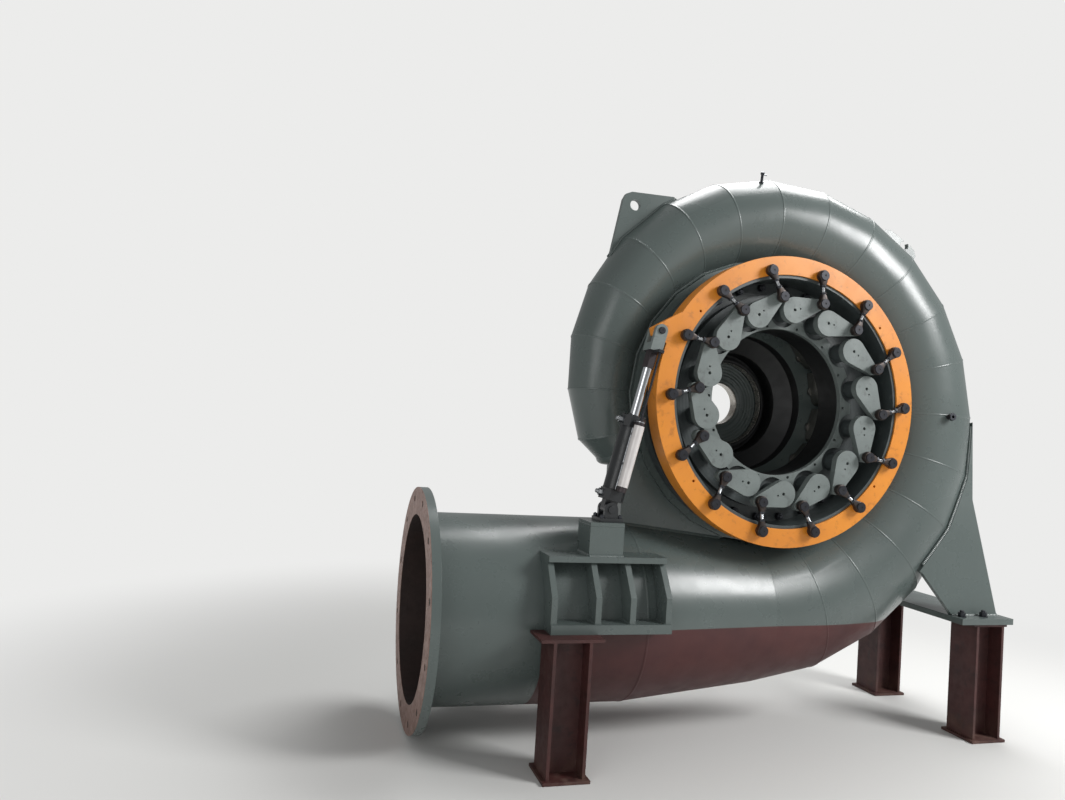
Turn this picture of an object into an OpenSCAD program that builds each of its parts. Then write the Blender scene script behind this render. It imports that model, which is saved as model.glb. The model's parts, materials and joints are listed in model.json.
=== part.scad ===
// Horizontal-shaft Francis turbine: welded spiral case, guide-vane gear with
// fourteen adjustable links, operating ring, one hydraulic servomotor and its posts.
// Inside the modules the shaft axis is the Y axis, y = 0 is the front face of the
// operating ring, and angles run clockwise from the top as seen from the front.

/* [Place] */
// height of the shaft axis above the floor
shaft_height = 1545; // [1400:5:1800]
// sideways place of the shaft axis in the frame
shaft_x = 175; // [-400:5:400]
// place of the ring's front face along the shaft, in the frame
face_y = -350; // [-600:5:0]

/* [Spiral case] */
// distance from the ring's front face to the middle plane of the case
case_middle = 352; // [300:2:420]
// outer radius of the spiral's section where the inlet cone joins it
case_section_r = 345; // [280:5:400]
// how fast the section shrinks round the case (1 is in proportion)
case_shrink = 0.62; // [0.4:0.02:1]
// plate thickness of the case
case_wall = 12; // [8:1:20]
// angle of one plate segment
segment_angle = 15; // [10:5:30]
// angle of the closed tail end
tail_angle = -112; // [-118:1:-108]
// outer radius of the section at the closed tail end
tail_r = 105; // [90:1:125]

/* [Stay ring] */
// radius of the stay ring's rim over its corners
stay_rim_r = 670; // [640:2:700]
// inner radius of the stay ring
stay_inner_r = 562; // [540:2:580]
// clear height between the stay ring's two plates
passage_height = 164; // [140:2:200]
// thickness of each stay ring plate
stay_plate = 40; // [25:1:60]
// number of stay vanes
stay_vane_count = 12; // [6:1:16]
// thickness of a stay vane
stay_vane_thick = 24; // [12:1:40]

/* [Inlet] */
// outer radius of the inlet pipe
pipe_r = 412; // [380:2:440]
// distance from the shaft axis to the pipe end of the cone
cone_length = 660; // [500:10:800]
// distance from the shaft axis to the outer face of the inlet flange
inlet_reach = 1597; // [1400:1:1800]
// outer radius of the inlet flange
flange_r = 520; // [470:5:560]
// thickness of the inlet flange
flange_thick = 40; // [25:1:60]
// bolt circle radius of the inlet flange
flange_bolt_r = 476; // [440:2:520]
// radius of an inlet flange bolt hole
flange_hole_r = 15; // [10:0.5:20]
// number of inlet flange bolt holes
flange_holes = 12; // [8:1:24]

/* [Front cover] */
// radius of the runner opening
bore_r = 340; // [300:2:360]
// thickness of the cover's bolted flange
cover_flange = 60; // [40:1:80]
// outer radius of the cover's bolted flange
cover_flange_r = 636; // [600:2:660]
// radius of the raised middle of the cover
cover_boss_r = 500; // [480:2:520]
// depth of the raised middle's front face behind the ring's front face
cover_face = 127; // [100:1:150]
// thickness of the scalloped bore ring
bore_ring_thick = 25; // [15:1:40]
// bolt circle radius of the bore ring
bore_bolt_r = 355; // [348:1:365]
// radius of a bore ring bolt hole
bore_hole_r = 6.5; // [4:0.5:9]
// outer radius of the bore ring's lobes
bore_lobe_r = 398; // [380:2:410]
// radius of the scallop cut into the bore ring round each stem
scallop_r = 70; // [60:1:74]
// thickness of the collar that the operating ring turns on
collar_thick = 14; // [10:1:20]
// depth of the collar's front end behind the ring's front face
collar_front = 8; // [5:1:20]
// how far the collar's shoulder stands out behind the operating ring
seat_shoulder = 26; // [18:1:30]

/* [Rear cover] */
// thickness of the rear cover's bolted flange
rear_flange = 36; // [25:1:60]
// radius of the seal housing
seal_r = 236; // [200:2:260]
// depth of the seal housing's front face behind the ring's front face
seal_face = 595; // [540:5:640]
// depth of the seal housing's bore
seal_depth = 40; // [30:1:60]
// wall of the seal housing
seal_wall = 24; // [16:1:32]
// radius of the shaft hole
shaft_hole_r = 108; // [80:2:130]
// depth of the rear end of the gland tube
gland_end = 720; // [680:5:760]

/* [Guide vanes] */
// number of guide vanes
vane_count = 14; // [10:2:16]
// radius of the circle through the vane stems
stem_circle_r = 419; // [400:1:440]
// angle of the first stem
first_stem = -25.1; // [-30:0.1:0]
// radius of a vane stem
stem_r = 25; // [18:0.5:32]
// radius of the boss that carries a stem
stem_boss_r = 43; // [36:1:52]
// distance from the stem to the vane's nose
vane_nose = 78; // [60:1:90]
// distance from the stem to the vane's tail
vane_tail = 96; // [70:1:110]
// thickness of a vane
vane_thick = 34; // [24:1:44]
// angle of a vane from the closed position at rest
vane_open = 6; // [2:0.5:30]

/* [Arms and links] */
// distance from the stem to the link pin
arm_length = 132.2; // [120:0.1:140]
// angle of the arm from the line out of the shaft axis at rest
arm_turn = 73.4; // [60:0.1:85]
// radius of the arm's round end
arm_end_r = 60; // [50:1:66]
// radius of the arm's small end
arm_tip_r = 25; // [20:1:30]
// thickness of the arm
arm_thick = 34; // [20:1:50]
// depth of the arm's front face behind the ring's front face
arm_face = 7; // [0:1:20]
// radius of the hole in the middle of the arm's round end
arm_hole_r = 7; // [5:0.5:12]
// distance from the stem to the dowel hole
dowel_step = 29; // [25:1:45]
// distance from the operating ring's inner edge out to its pins
ring_pin_step = 21; // [17:0.5:25]
// angle from a stem to its ring pin at rest
ring_pin_lead = 11.3; // [9:0.1:13]
// radius of a link's eye
link_eye_r = 27; // [24:1:32]
// thickness of a link's eye
link_thick = 28; // [20:1:32]
// distance from the ring's front face to a link's rear face
link_rise = 6; // [5:0.5:10]
// thickness of a link pin's head
link_head = 3; // [2:0.5:10]
// radius of a link pin's head and of the boss behind the link
link_boss_r = 22; // [19:0.5:24]
// distance from a link's pin to the neck of its eye
link_neck = 42; // [36:1:50]
// radius of a link's threaded stud
stud_r = 8; // [6:0.5:12]
// radius of a link pin
link_pin_r = 11; // [8:0.5:14]
// radial clearance of the open pivot at the arm's pin
open_clearance = 5.2; // [1:0.1:7]

/* [Operating ring] */
// inner radius of the operating ring
ring_inner_r = 575; // [565:1:585]
// width of the operating ring's face
ring_width = 85; // [75:1:95]
// thickness of the operating ring along the shaft
ring_depth = 90; // [60:1:110]
// thickness of the ring's front plate and of its ear
ring_plate = 38; // [25:1:50]
// width of the rims along the ring's two edges
ring_rim = 30; // [20:1:36]
// radius of the four threaded holes in the ring's face
ring_hole_r = 6; // [4:0.5:8]
// distance from the ring's outer edge out to the ear's pin
ear_step = 50; // [46:1:56]
// angle of the ear's pin
ear_angle = -68.7; // [-75:0.1:-60]
// distance from the ear's pin to the ear's left edge
ear_edge = 28; // [26:1:36]

/* [Servomotor] */
// sideways place of the cylinder's lower pivot
servo_pivot_x = -843; // [-900:1:-780]
// distance from the cylinder's lower pivot to its top face
cylinder_length = 405; // [390:5:420]
// outer radius of the cylinder tube
cylinder_r = 46; // [35:1:60]
// width of the cylinder's square heads
head_width = 94; // [92:1:110]
// thickness of the cylinder's square heads
head_thick = 48; // [40:1:56]
// radius of the piston rod
rod_r = 20.5; // [16:0.5:28]
// radius of the position sensor's tube
sensor_r = 22; // [16:0.5:24]
// distance from the cylinder's heads forward to the sensor's tube
sensor_gap = 19; // [8:1:24]
// radius of the servomotor's pivot pins
servo_pin_r = 15; // [10:0.5:20]
// radial clearance of the open pivot at the ear
ear_clearance = 2.6; // [0.5:0.1:4]
// width and depth of the box pedestal under the cylinder
pedestal_size = 150; // [130:5:165]
// height of the box pedestal
pedestal_height = 138; // [120:1:160]
// distance from the cylinder's pivot left to the pedestal's middle
pedestal_shift = 25; // [15:1:25]
// height of the cylinder's pivot above the pedestal
pivot_height = 52; // [50:1:70]
// thickness of the pivot bracket's base
pivot_base = 16; // [10:1:18]

/* [Brackets and posts] */
// height of the underside of the leg above the inlet pipe's axis
foot_rise = 15; // [-20:1:30]
// thickness of the leg's foot plate
foot_plate = 28; // [15:1:40]
// thickness of the leg's and the crotch's plates
leg_plate = 20; // [10:1:30]
// distance from the shaft axis to the crotch plates' left edge
crotch_x = 688; // [640:2:740]
// slope of the leg's front and rear faces
leg_slope = 8.5; // [0:0.5:12]
// height where the leg's sloping faces start
leg_top_z = -15; // [-60:5:0]
// how far inside the case's largest section the leg's faces are at their top
leg_inset = 143; // [105:1:155]
// right edge of the leg above its bend
leg_right_x = 1132; // [1100:2:1160]
// right edge of the leg at its foot
leg_foot_x = 1225; // [1180:5:1280]
// left edge of the leg at its foot
leg_left_x = 955; // [900:5:1000]
// width of the leg's foot plate
foot_width = 300; // [260:5:340]
// depth of the leg's foot plate
foot_depth = 850; // [780:10:920]
// width of the servomotor bracket along the pipe
bracket_width = 520; // [480:10:560]
// left end of the servomotor bracket
bracket_x = -1117; // [-1140:1:-1090]
// distance from the ring's front face forward to the bracket's front edge
bracket_front = 150; // [100:5:200]
// height of the bracket's top above the inlet pipe's axis
bracket_rise = 301; // [280:1:320]
// thickness of the brackets' base plates
bracket_base = 38; // [28:1:50]
// thickness of the brackets' ribs and top plate
rib_plate = 25; // [15:1:32]
// width and depth of a post
post_size = 160; // [120:5:180]
// thickness of a post's flanges
post_flange = 13; // [6:0.5:20]
// thickness of a post's web
post_web = 8; // [4:0.5:16]
// thickness of a post's base and cap plates
post_plate = 12; // [8:1:30]
// how far a base plate stands out past its post
post_overhang = 16; // [5:1:40]
// how far a left-hand post's cap plate stands out at each side
cap_overhang = 50; // [10:1:60]
// sideways place of the right-hand posts
right_post_x = 1122; // [1050:2:1200]
// sideways place of the left-hand posts
left_post_x = -1045; // [-1100:1:-900]
// distance of the right-hand posts from the case's middle plane
right_post_step = 334; // [280:2:400]
// room between the inlet pipe's side and the left-hand posts
left_post_gap = 3; // [1:1:60]

/* [Lifting lugs and taps] */
// thickness of a lifting lug
lug_thick = 25; // [15:1:40]
// radius of a lug's hole
lug_hole_r = 26; // [15:1:32]
// radius of the air cock's tube
cock_r = 6.5; // [5:0.5:10]
// radius of the gauge plug's stub
plug_r = 13; // [8:0.5:20]

/* [Hidden] */
$fn = 96;
seat_gap = 0.3;
run_gap = 0.5;
move_gap = 5;
passage_half = passage_height / 2;
front_inner = case_middle - passage_half;
rear_inner = case_middle + passage_half;
front_outer = front_inner - stay_plate;
rear_outer = rear_inner + stay_plate;
pipe_drop = section_mid(180);
rim_sides = 360 / segment_angle;
section_steps = 32;
ring_r = ring_inner_r + ring_width;
ring_pin_circle_r = ring_inner_r + ring_pin_step;
ear_pin_r = ring_r + ear_step;
foot_z = foot_rise - pipe_drop;
foot_top = foot_z + foot_plate;
leg_top_depth = case_section_r - leg_inset;
left_post_step = pipe_r + left_post_gap + post_size / 2;
bracket_z = foot_top - bracket_base;
bracket_top_z = bracket_rise - pipe_drop;
pedestal_top = bracket_top_z + pedestal_height;
servo_pivot_z = pedestal_top + pivot_height;
pedestal_x = servo_pivot_x - pedestal_shift;
cover_front = front_outer - cover_flange;
boss_front = arm_face + arm_thick + move_gap;
vane_front = front_inner + 3;
vane_rear = rear_inner - 3;
link_front = -link_rise - link_thick;
head_front = link_front - link_head;
arm_pin_x = arm_length * sin(arm_turn);
arm_pin_z = stem_circle_r + arm_length * cos(arm_turn);
ring_pin_x = ring_pin_circle_r * sin(ring_pin_lead);
ring_pin_z = ring_pin_circle_r * cos(ring_pin_lead);
link_length = norm([arm_pin_x - ring_pin_x, arm_pin_z - ring_pin_z]);
link_turn = atan2(arm_pin_x - ring_pin_x, arm_pin_z - ring_pin_z);
servo_y = ring_plate / 2;
ear_x = ear_pin_r * sin(ear_angle);
ear_z = ear_pin_r * cos(ear_angle);
servo_length = norm([ear_x - servo_pivot_x, ear_z - servo_pivot_z]);
servo_turn = atan2(ear_x - servo_pivot_x, ear_z - servo_pivot_z);
sensor_out = head_width / 2 + sensor_r + sensor_gap;
sensor_rod_r = 5;
fork_gap = 3;
fork_cheek = 21;
fork_half = ring_plate / 2 + fork_gap + fork_cheek;
fork_r = 28;
fork_reach = 93;

// section radius and the distance of its centre from the shaft at a clockwise angle
function section_r(a) = a <= tail_angle ? tail_r : case_section_r * pow((a + 180) / 360, case_shrink);
function section_mid(a) = stay_rim_r + sqrt(pow(section_r(a), 2) - pow(passage_half, 2));
function mouth_angle(a) = asin(passage_half / section_r(a));

// one point of a section: angle round the shaft, wall depth, and angle from the inward side
function section_point(a, depth, u) =
    let (r = section_r(a) - depth, out = section_mid(a) - r * cos(u))
    [out * sin(a), case_middle + r * sin(u), out * cos(a)];

// the angle from the inward side of a section's corner number j
function corner_turn(a, j) = mouth_angle(a) + j * (360 - 2 * mouth_angle(a)) / section_steps;

function flatten(rows) = [for (row = rows) for (item = row) item];

// moves the shaft's own axes to their place in the frame
module at_shaft() {
    translate([shaft_x, face_y, shaft_height]) children();
}

// turns clockwise about the shaft as seen from the front
module turned(a) {
    rotate([0, a, 0]) children();
}

// a flat plate from a front-view outline, from depth y0 to y0 + t
module plate(y0, t) {
    translate([0, y0 + t, 0]) rotate([90, 0, 0]) linear_extrude(t) children();
}

// a round bar along the shaft from depth y0 to y1
module bar(y0, y1, r, x = 0, z = 0, sides = 64) {
    translate([x, y0, z]) rotate([-90, 0, 0]) cylinder(h = y1 - y0, r = r, $fn = sides);
}

// a body of revolution about the shaft from an outline of [radius, depth] points
module revolved(outline, sides = 180) {
    rotate([-90, 0, 0]) rotate_extrude($fn = sides) polygon(outline);
}

// a plate segment shell between two angles, open towards the stay ring
module shell_run(from, to) {
    steps = abs(from - to) / segment_angle;
    count = ceil(steps);
    angles = [for (i = [0 : count]) i == count ? to : from - i * segment_angle];
    row = 2 * (section_steps + 1);
    points = flatten([for (a = angles) concat(
        [for (j = [0 : section_steps]) section_point(a, 0, corner_turn(a, j))],
        [for (j = [section_steps : -1 : 0]) section_point(a, case_wall, corner_turn(a, j))])]);
    sides = flatten([for (i = [0 : count - 1]) [for (j = [0 : row - 1])
        let (k = (j + 1) % row, b = i * row)
        [b + j, b + k, b + row + k, b + row + j]]]);
    start = [for (j = [0 : section_steps - 1]) [j, row - 1 - j, row - 2 - j, j + 1]];
    end = [for (j = [0 : section_steps - 1]) let (b = count * row)
        [b + j + 1, b + row - 2 - j, b + row - 1 - j, b + j]];
    polyhedron(points, concat(sides, start, end), convexity = 6);
}

// the case's outside in a plane square to the shaft, dy from the middle plane, at a segment joint
function joint_out(a, dy) = (section_mid(a) + sqrt(pow(section_r(a), 2) - dy * dy)) * [sin(a), cos(a)];

// how far out the case's flat segment reaches at any angle, in the plane dy from the middle plane
function case_out(a, dy) =
    let (k = floor(a / segment_angle) * segment_angle, p = joint_out(k, dy),
        side = joint_out(k + segment_angle, dy) - p)
    cross(p, side) / cross([sin(a), cos(a)], side);

// the front-view point just outside the case at an angle
function on_case(a, dy = 0, grow = seat_gap) = (case_out(a, dy) + grow) * [sin(a), cos(a)];

// the rim outline of the stay ring, with its corners on the segment joints
module rim_outline(grow = 0) {
    polygon([for (i = [0 : rim_sides - 1])
        let (r = stay_rim_r + grow, a = i * segment_angle)
        [r * sin(a), r * cos(a)]]);
}

// a circle of bolt holes through a plate
module hole_circle(y0, y1, r, hole_r, count, first = 0) {
    for (i = [0 : count - 1]) turned(first + i * 360 / count) bar(y0, y1, hole_r, z = r, sides = 24);
}

module inlet_flange() {
    color("#8a6f63") at_shaft() translate([-inlet_reach, case_middle, -pipe_drop]) rotate([0, 90, 0])
    difference() {
        cylinder(h = flange_thick, r = flange_r, $fn = 120);
        translate([0, 0, -1]) cylinder(h = flange_thick + 2, r = pipe_r - case_wall, $fn = 120);
        for (i = [0 : flange_holes - 1]) rotate((i + 0.5) * 360 / flange_holes)
        translate([flange_bolt_r, 0, -1]) cylinder(h = flange_thick + 2, r = flange_hole_r, $fn = 32);
    }
}

module inlet_pipe() {
    length = inlet_reach - flange_thick - cone_length;
    color("#5f6664") at_shaft() translate([-cone_length - length, case_middle, -pipe_drop]) rotate([0, 90, 0])
    difference() {
        cylinder(h = length, r = pipe_r, $fn = 120);
        translate([0, 0, -1]) cylinder(h = length + 2, r = pipe_r - case_wall, $fn = 120);
    }
}

module inlet_cone() {
    color("#5f6664") at_shaft() difference() {
        translate([-cone_length, case_middle, -pipe_drop]) rotate([0, 90, 0]) difference() {
            cylinder(h = cone_length, r1 = pipe_r, r2 = case_section_r, $fn = 120);
            cylinder(h = cone_length, r1 = pipe_r - case_wall, r2 = case_section_r - case_wall, $fn = 120);
        }
        plate(case_middle - 2 * passage_half, 4 * passage_half) rim_outline(seat_gap);
    }
}

module spiral_lower() {
    color("#5f6664") at_shaft() shell_run(180, 120);
}

module spiral_right() {
    color("#646b69") at_shaft() shell_run(120, 60);
}

module spiral_upper_right() {
    color("#5f6664") at_shaft() shell_run(60, 0);
}

module spiral_upper_left() {
    color("#646b69") at_shaft() shell_run(0, -60);
}

module spiral_tail() {
    color("#5f6664") at_shaft() shell_run(-60, tail_angle);
}

module stay_ring() {
    span = stay_rim_r - stay_inner_r;
    color("#565d5b") at_shaft() {
        for (y = [front_outer, rear_inner]) difference() {
            plate(y, stay_plate) rim_outline(-seat_gap);
            bar(y - 1, y + stay_plate + 1, stay_inner_r, sides = 180);
        }
        for (i = [0 : stay_vane_count - 1]) turned(i * 360 / stay_vane_count + 8)
        translate([0, 0, stay_inner_r + span / 2]) rotate([0, 62, 0])
        plate(front_inner - 1, passage_height + 2) vane_outline(span * 0.44, span * 0.44, stay_vane_thick);
    }
}

// a streamlined outline along Z with its round nose up and its thin tail down
module vane_outline(nose, tail, thick) {
    n = 12;
    length = nose + tail;
    half = [for (i = [0 : n]) let (s = i / n)
        [thick * 1.3 * (1.1 * sqrt(s) - s * 0.9 - s * s * 0.16) + (i == 0 ? 0 : 1.2), nose - s * length]];
    polygon(concat(half, [for (i = [n : -1 : 1]) [-half[i][0], half[i][1]]]));
}

module inlet_outside(grow) {
    translate([-inlet_reach, case_middle, -pipe_drop]) rotate([0, 90, 0])
    cylinder(h = inlet_reach - cone_length + 0.01, r = pipe_r + grow, $fn = 120);
    translate([-cone_length, case_middle, -pipe_drop]) rotate([0, 90, 0])
    cylinder(h = cone_length, r1 = pipe_r + grow, r2 = case_section_r + grow, $fn = 120);
}

module crotch_plates() {
    low = pipe_drop - pipe_r + 60;
    top = 650 * [sin(tail_angle - 2), cos(tail_angle - 2)];
    edge_z = -crotch_x / tan(tail_angle - 2);
    color("#4a504e") at_shaft() {
        difference() {
            union() {
                for (y = [front_inner - leg_plate, rear_inner]) plate(y, leg_plate)
                polygon([top, [-crotch_x, edge_z], [-crotch_x, -low], [-160, -low], [-160, -600]]);
                translate([-crotch_x, front_inner, -low])
                cube([case_wall, passage_height, edge_z + low - 10]);
            }
            plate(front_inner - 60, passage_height + 120) rim_outline(seat_gap);
            inlet_outside(seat_gap);
        }
        turned(tail_angle) difference() {
            translate([-case_wall - seat_gap, case_middle, section_mid(tail_angle)]) rotate([0, 90, 0])
            cylinder(h = case_wall, r = section_r(tail_angle), $fn = 96);
            translate([-50, front_inner - 100, 0]) cube([100, passage_height + 200, stay_rim_r + seat_gap]);
        }
    }
}

module front_cover() {
    color("#4c5351") at_shaft() difference() {
        union() {
            revolved([[bore_r, front_inner], [stay_inner_r - run_gap, front_inner],
                [stay_inner_r - run_gap, front_outer], [cover_flange_r, front_outer],
                [cover_flange_r, cover_front], [cover_boss_r, cover_front], [cover_boss_r, cover_face],
                [bore_r, cover_face]]);
            for (i = [0 : vane_count - 1]) turned(first_stem + i * 360 / vane_count)
            bar(boss_front, cover_face + 20, stem_boss_r, z = stem_circle_r);
        }
        for (i = [0 : vane_count - 1]) turned(first_stem + i * 360 / vane_count)
        bar(boss_front - 1, front_inner + 1, stem_r + seat_gap, z = stem_circle_r);
    }
}

module bore_ring() {
    y0 = cover_face - bore_ring_thick;
    color("#68706d") at_shaft() difference() {
        bar(y0, cover_face, bore_lobe_r, sides = 180);
        bar(y0 - 1, cover_face + 1, bore_r, sides = 180);
        for (i = [0 : vane_count - 1]) turned(first_stem + i * 360 / vane_count)
        bar(y0 - 1, cover_face + 1, scallop_r, z = stem_circle_r);
        hole_circle(y0 - 1, cover_face + 1, bore_bolt_r, bore_hole_r, vane_count,
            first_stem + 180 / vane_count);
    }
}

// the collar that the operating ring turns on, with a shoulder behind the ring
module ring_seat() {
    outer = ring_inner_r - run_gap;
    inner = outer - collar_thick;
    behind = ring_depth + 2;
    color("#59605e") at_shaft() revolved([[inner, collar_front], [outer, collar_front], [outer, behind],
        [outer + seat_shoulder, behind], [outer + seat_shoulder, behind + collar_thick],
        [outer, behind + collar_thick], [outer, cover_front], [inner, cover_front]]);
}

module rear_cover() {
    flange_rear = rear_outer + rear_flange;
    plate_front = seal_face + seal_depth;
    hub_r = seal_r + seal_wall;
    color("#4c5351") at_shaft() difference() {
        revolved([[hub_r, plate_front], [hub_r, flange_rear + 30], [bore_r, flange_rear - 20],
            [bore_r, rear_inner], [stay_inner_r - run_gap, rear_inner],
            [stay_inner_r - run_gap, rear_outer], [cover_flange_r, rear_outer],
            [cover_flange_r, flange_rear], [bore_r + 70, flange_rear], [bore_r + 10, flange_rear + 24],
            [hub_r + seal_wall * 1.5, plate_front]]);
        for (i = [0 : vane_count - 1]) turned(first_stem + i * 360 / vane_count)
        bar(rear_inner - 1, rear_inner + 50, stem_r + seat_gap, z = stem_circle_r);
    }
}

module seal_ring() {
    plate_front = seal_face + seal_depth;
    flange = seal_wall * 1.5;
    tube_r = shaft_hole_r + flange * 1.25;
    flange_r = seal_r + seal_wall + flange;
    inner_r = seal_r - seal_wall;
    color("#9a9d9c") at_shaft()
    revolved([[shaft_hole_r, plate_front + flange * 0.8], [shaft_hole_r, gland_end], [tube_r, gland_end],
        [tube_r, plate_front + flange], [flange_r, plate_front + flange],
        [flange_r, plate_front], [seal_r, plate_front], [seal_r, seal_face], [inner_r, seal_face],
        [inner_r, plate_front + flange * 0.4], [shaft_hole_r + flange * 0.8, plate_front + flange * 0.4]]);
}

// a lug plate with a hole, welded on the case between two angles; its corners and its hole
// are given as an angle and a distance out from the case
module lug(from, to, corners, hole) {
    joints = [for (k = [ceil(from / segment_angle) : floor(to / segment_angle)]) k * segment_angle];
    plate(case_middle - lug_thick / 2, lug_thick) difference() {
        polygon(concat([for (a = concat([from], joints, [to])) on_case(a)],
            [for (corner = corners) on_case(corner[0], 0, corner[1])]));
        translate(on_case(hole[0], 0, hole[1])) circle(r = lug_hole_r, $fn = 40);
    }
}

module lifting_lugs() {
    rise = lug_hole_r * 3;
    color("#5f6664") at_shaft() {
        lug(-51, -26, [[-26.2, 15], [-35.9, rise + 64], [-37.4, rise + 74], [-38.7, rise + 64]],
            [-36.9, rise + 5]);
        lug(37, 50, [[48, rise + 10], [46.8, rise + 21], [45.3, rise + 19], [38.7, rise + 1],
            [37.5, rise - 22]], [44.1, rise - 9]);
    }
}

// a point on the case's corner line number j, at an angle between two joints
function plate_point(a, j) =
    let (k = floor(a / segment_angle) * segment_angle, t = (a - k) / segment_angle)
    (1 - t) * section_point(k, 0, corner_turn(k, j))
    + t * section_point(k + segment_angle, 0, corner_turn(k + segment_angle, j));

// stands something on the case's corner line number j at an angle, square to the case
module on_plate(a, j) {
    along = plate_point(a + 1, j) - plate_point(a, j);
    across = plate_point(a, j + 1) - plate_point(a, j - 1);
    out = cross(across, along) / norm(cross(across, along));
    translate(plate_point(a, j) + seat_gap * out) rotate([0, acos(out[2]), atan2(out[1], out[0])]) children();
}

module taps() {
    color("#6a6f6e") at_shaft() {
        on_plate(-3.5, 19) {
            cylinder(h = cock_r, r = cock_r * 1.8, $fn = 32);
            cylinder(h = cock_r * 6, r = cock_r, $fn = 32);
            translate([0, 0, cock_r * 6]) cylinder(h = cock_r * 2, r = cock_r * 1.5, $fn = 6);
        }
        on_plate(90.5, 25) difference() {
            union() {
                cylinder(h = plug_r, r = plug_r, $fn = 40);
                translate([0, 0, plug_r]) cylinder(h = plug_r * 1.4, r = plug_r * 1.5, $fn = 6);
            }
            translate([0, 0, plug_r]) cylinder(h = plug_r * 2, r = plug_r * 0.6, $fn = 32);
        }
    }
}

// depth of the leg's sloping face in front of the middle plane, at a height
function leg_depth(z) = leg_top_depth + (leg_top_z - z) * tan(leg_slope);

// where the leg's sloping face meets the case at an angle, found by steps
function leg_meet(a, r = stay_rim_r, n = 10) =
    n == 0 ? r : leg_meet(a, case_out(a, min(leg_depth(r * cos(a)) - leg_plate, section_r(a) - 1)), n - 1);

module right_leg() {
    bottom = foot_top + leg_plate * sin(leg_slope) + seat_gap;
    bend_z = foot_z + 580;
    notch_z = foot_z + 218;
    steps = 9;
    from = 91;
    to = 134;
    edge = [for (i = [0 : steps]) let (a = from + i * (to - from) / steps, r = leg_meet(a) + seat_gap)
        [r * sin(a), r * cos(a)]];
    color("#5f6664") at_shaft() {
        for (s = [0, 1]) translate([0, case_middle, 0]) mirror([0, s, 0])
        translate([0, -leg_top_depth, leg_top_z]) rotate([-leg_slope, 0, 0]) plate(0, leg_plate)
        scale([1, 1 / cos(leg_slope), 1]) translate([0, -leg_top_z])
        polygon(concat([[leg_right_x, bend_z], [leg_foot_x, bottom], [leg_left_x, bottom]],
            [[leg_left_x - 150, notch_z]], [for (i = [steps : -1 : 0]) edge[i]]));
        translate([leg_left_x - 12, case_middle - foot_depth / 2, foot_z])
        cube([foot_width, foot_depth, foot_plate]);
    }
}

// the room that the inlet pipe takes, with the seat clearance
module pipe_room() {
    translate([-inlet_reach, case_middle, -pipe_drop]) rotate([0, 90, 0])
    cylinder(h = inlet_reach, r = pipe_r + seat_gap, $fn = 120);
}

// a bracket's base plate, with ribs that reach up to a height
module ribbed_base(width, ribs, top) {
    foot = foot_top - bracket_base / 2;
    translate([bracket_x, -bracket_front, bracket_z]) cube([width, bracket_front * 2, bracket_base]);
    for (x = ribs) translate([x - rib_plate / 2, 0, 0]) rotate([90, 0, 90]) linear_extrude(rib_plate)
    polygon([[-bracket_front + 10, foot], [bracket_front, foot], [bracket_front, top],
        [-bracket_front / 3, top], [-bracket_front + 10, foot_top + bracket_front * 0.7]]);
}

module servo_bracket() {
    first = bracket_x + rib_plate / 2;
    last = bracket_x + bracket_width - rib_plate / 2;
    under = bracket_top_z - rib_plate;
    color("#5f6664") at_shaft() difference() {
        union() {
            ribbed_base(bracket_width, [first, servo_pivot_x - pedestal_size / 2,
                servo_pivot_x + pedestal_size / 2, last], under);
            translate([bracket_x, -bracket_front / 2 + 5, under])
            cube([bracket_width, bracket_front * 1.5, rib_plate]);
        }
        pipe_room();
    }
}

module rear_bracket() {
    width = bracket_width / 2;
    color("#5f6664") at_shaft() translate([0, 2 * case_middle, 0]) mirror([0, 1, 0]) difference() {
        ribbed_base(width, [bracket_x + rib_plate / 2, bracket_x + width - rib_plate / 2], bracket_top_z);
        pipe_room();
    }
}

module servo_pedestal() {
    wall = 10;
    color("#5f6664") at_shaft() difference() {
        translate([pedestal_x - pedestal_size / 2, servo_y - pedestal_size / 2, bracket_top_z]) difference() {
            cube([pedestal_size, pedestal_size, pedestal_height]);
            translate([wall, wall, -1])
            cube([pedestal_size - 2 * wall, pedestal_size - 2 * wall, pedestal_height - wall]);
        }
        pipe_room();
    }
}

module servo_pivot() {
    cheek_r = 30;
    cheek = 18;
    base = 2 * (pedestal_size / 2 - pedestal_shift);
    color("#2e3234") at_shaft() {
        translate([servo_pivot_x - base / 2, servo_y - 55, pedestal_top]) cube([base, 110, pivot_base]);
        for (y = [servo_y - 35 - cheek / 2, servo_y + 35 - cheek / 2]) {
            bar(y, y + cheek, cheek_r, servo_pivot_x, servo_pivot_z, 48);
            translate([servo_pivot_x - cheek_r, y, pedestal_top]) cube([2 * cheek_r, cheek, pivot_height]);
        }
        bar(servo_y - 50, servo_y + 50, servo_pin_r, servo_pivot_x, servo_pivot_z, 48);
    }
}

// an I-section post with its web across the view, up to a height above the shaft axis,
// with a base plate and a cap plate that stands out at the sides
module post(x, y, top, cap_out) {
    base = post_size + 2 * post_overhang;
    high = shaft_height + top - 2 * post_plate;
    translate([x, y, -shaft_height]) {
        translate([-base / 2, -base / 2, 0]) cube([base, base, post_plate]);
        translate([-post_size / 2 - cap_out, -post_size / 2, post_plate + high])
        cube([post_size + 2 * cap_out, post_size, post_plate]);
        for (x = [-post_size / 2, post_size / 2 - post_flange]) translate([x, -post_size / 2, post_plate])
        cube([post_flange, post_size, high]);
        translate([-post_size / 2 + post_flange / 2, -post_web / 2, post_plate])
        cube([post_size - post_flange, post_web, high]);
    }
}

module posts_left() {
    color("#4a2620") at_shaft() for (s = [-1, 1])
    post(left_post_x, case_middle + s * left_post_step, bracket_z, cap_overhang);
}

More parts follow.
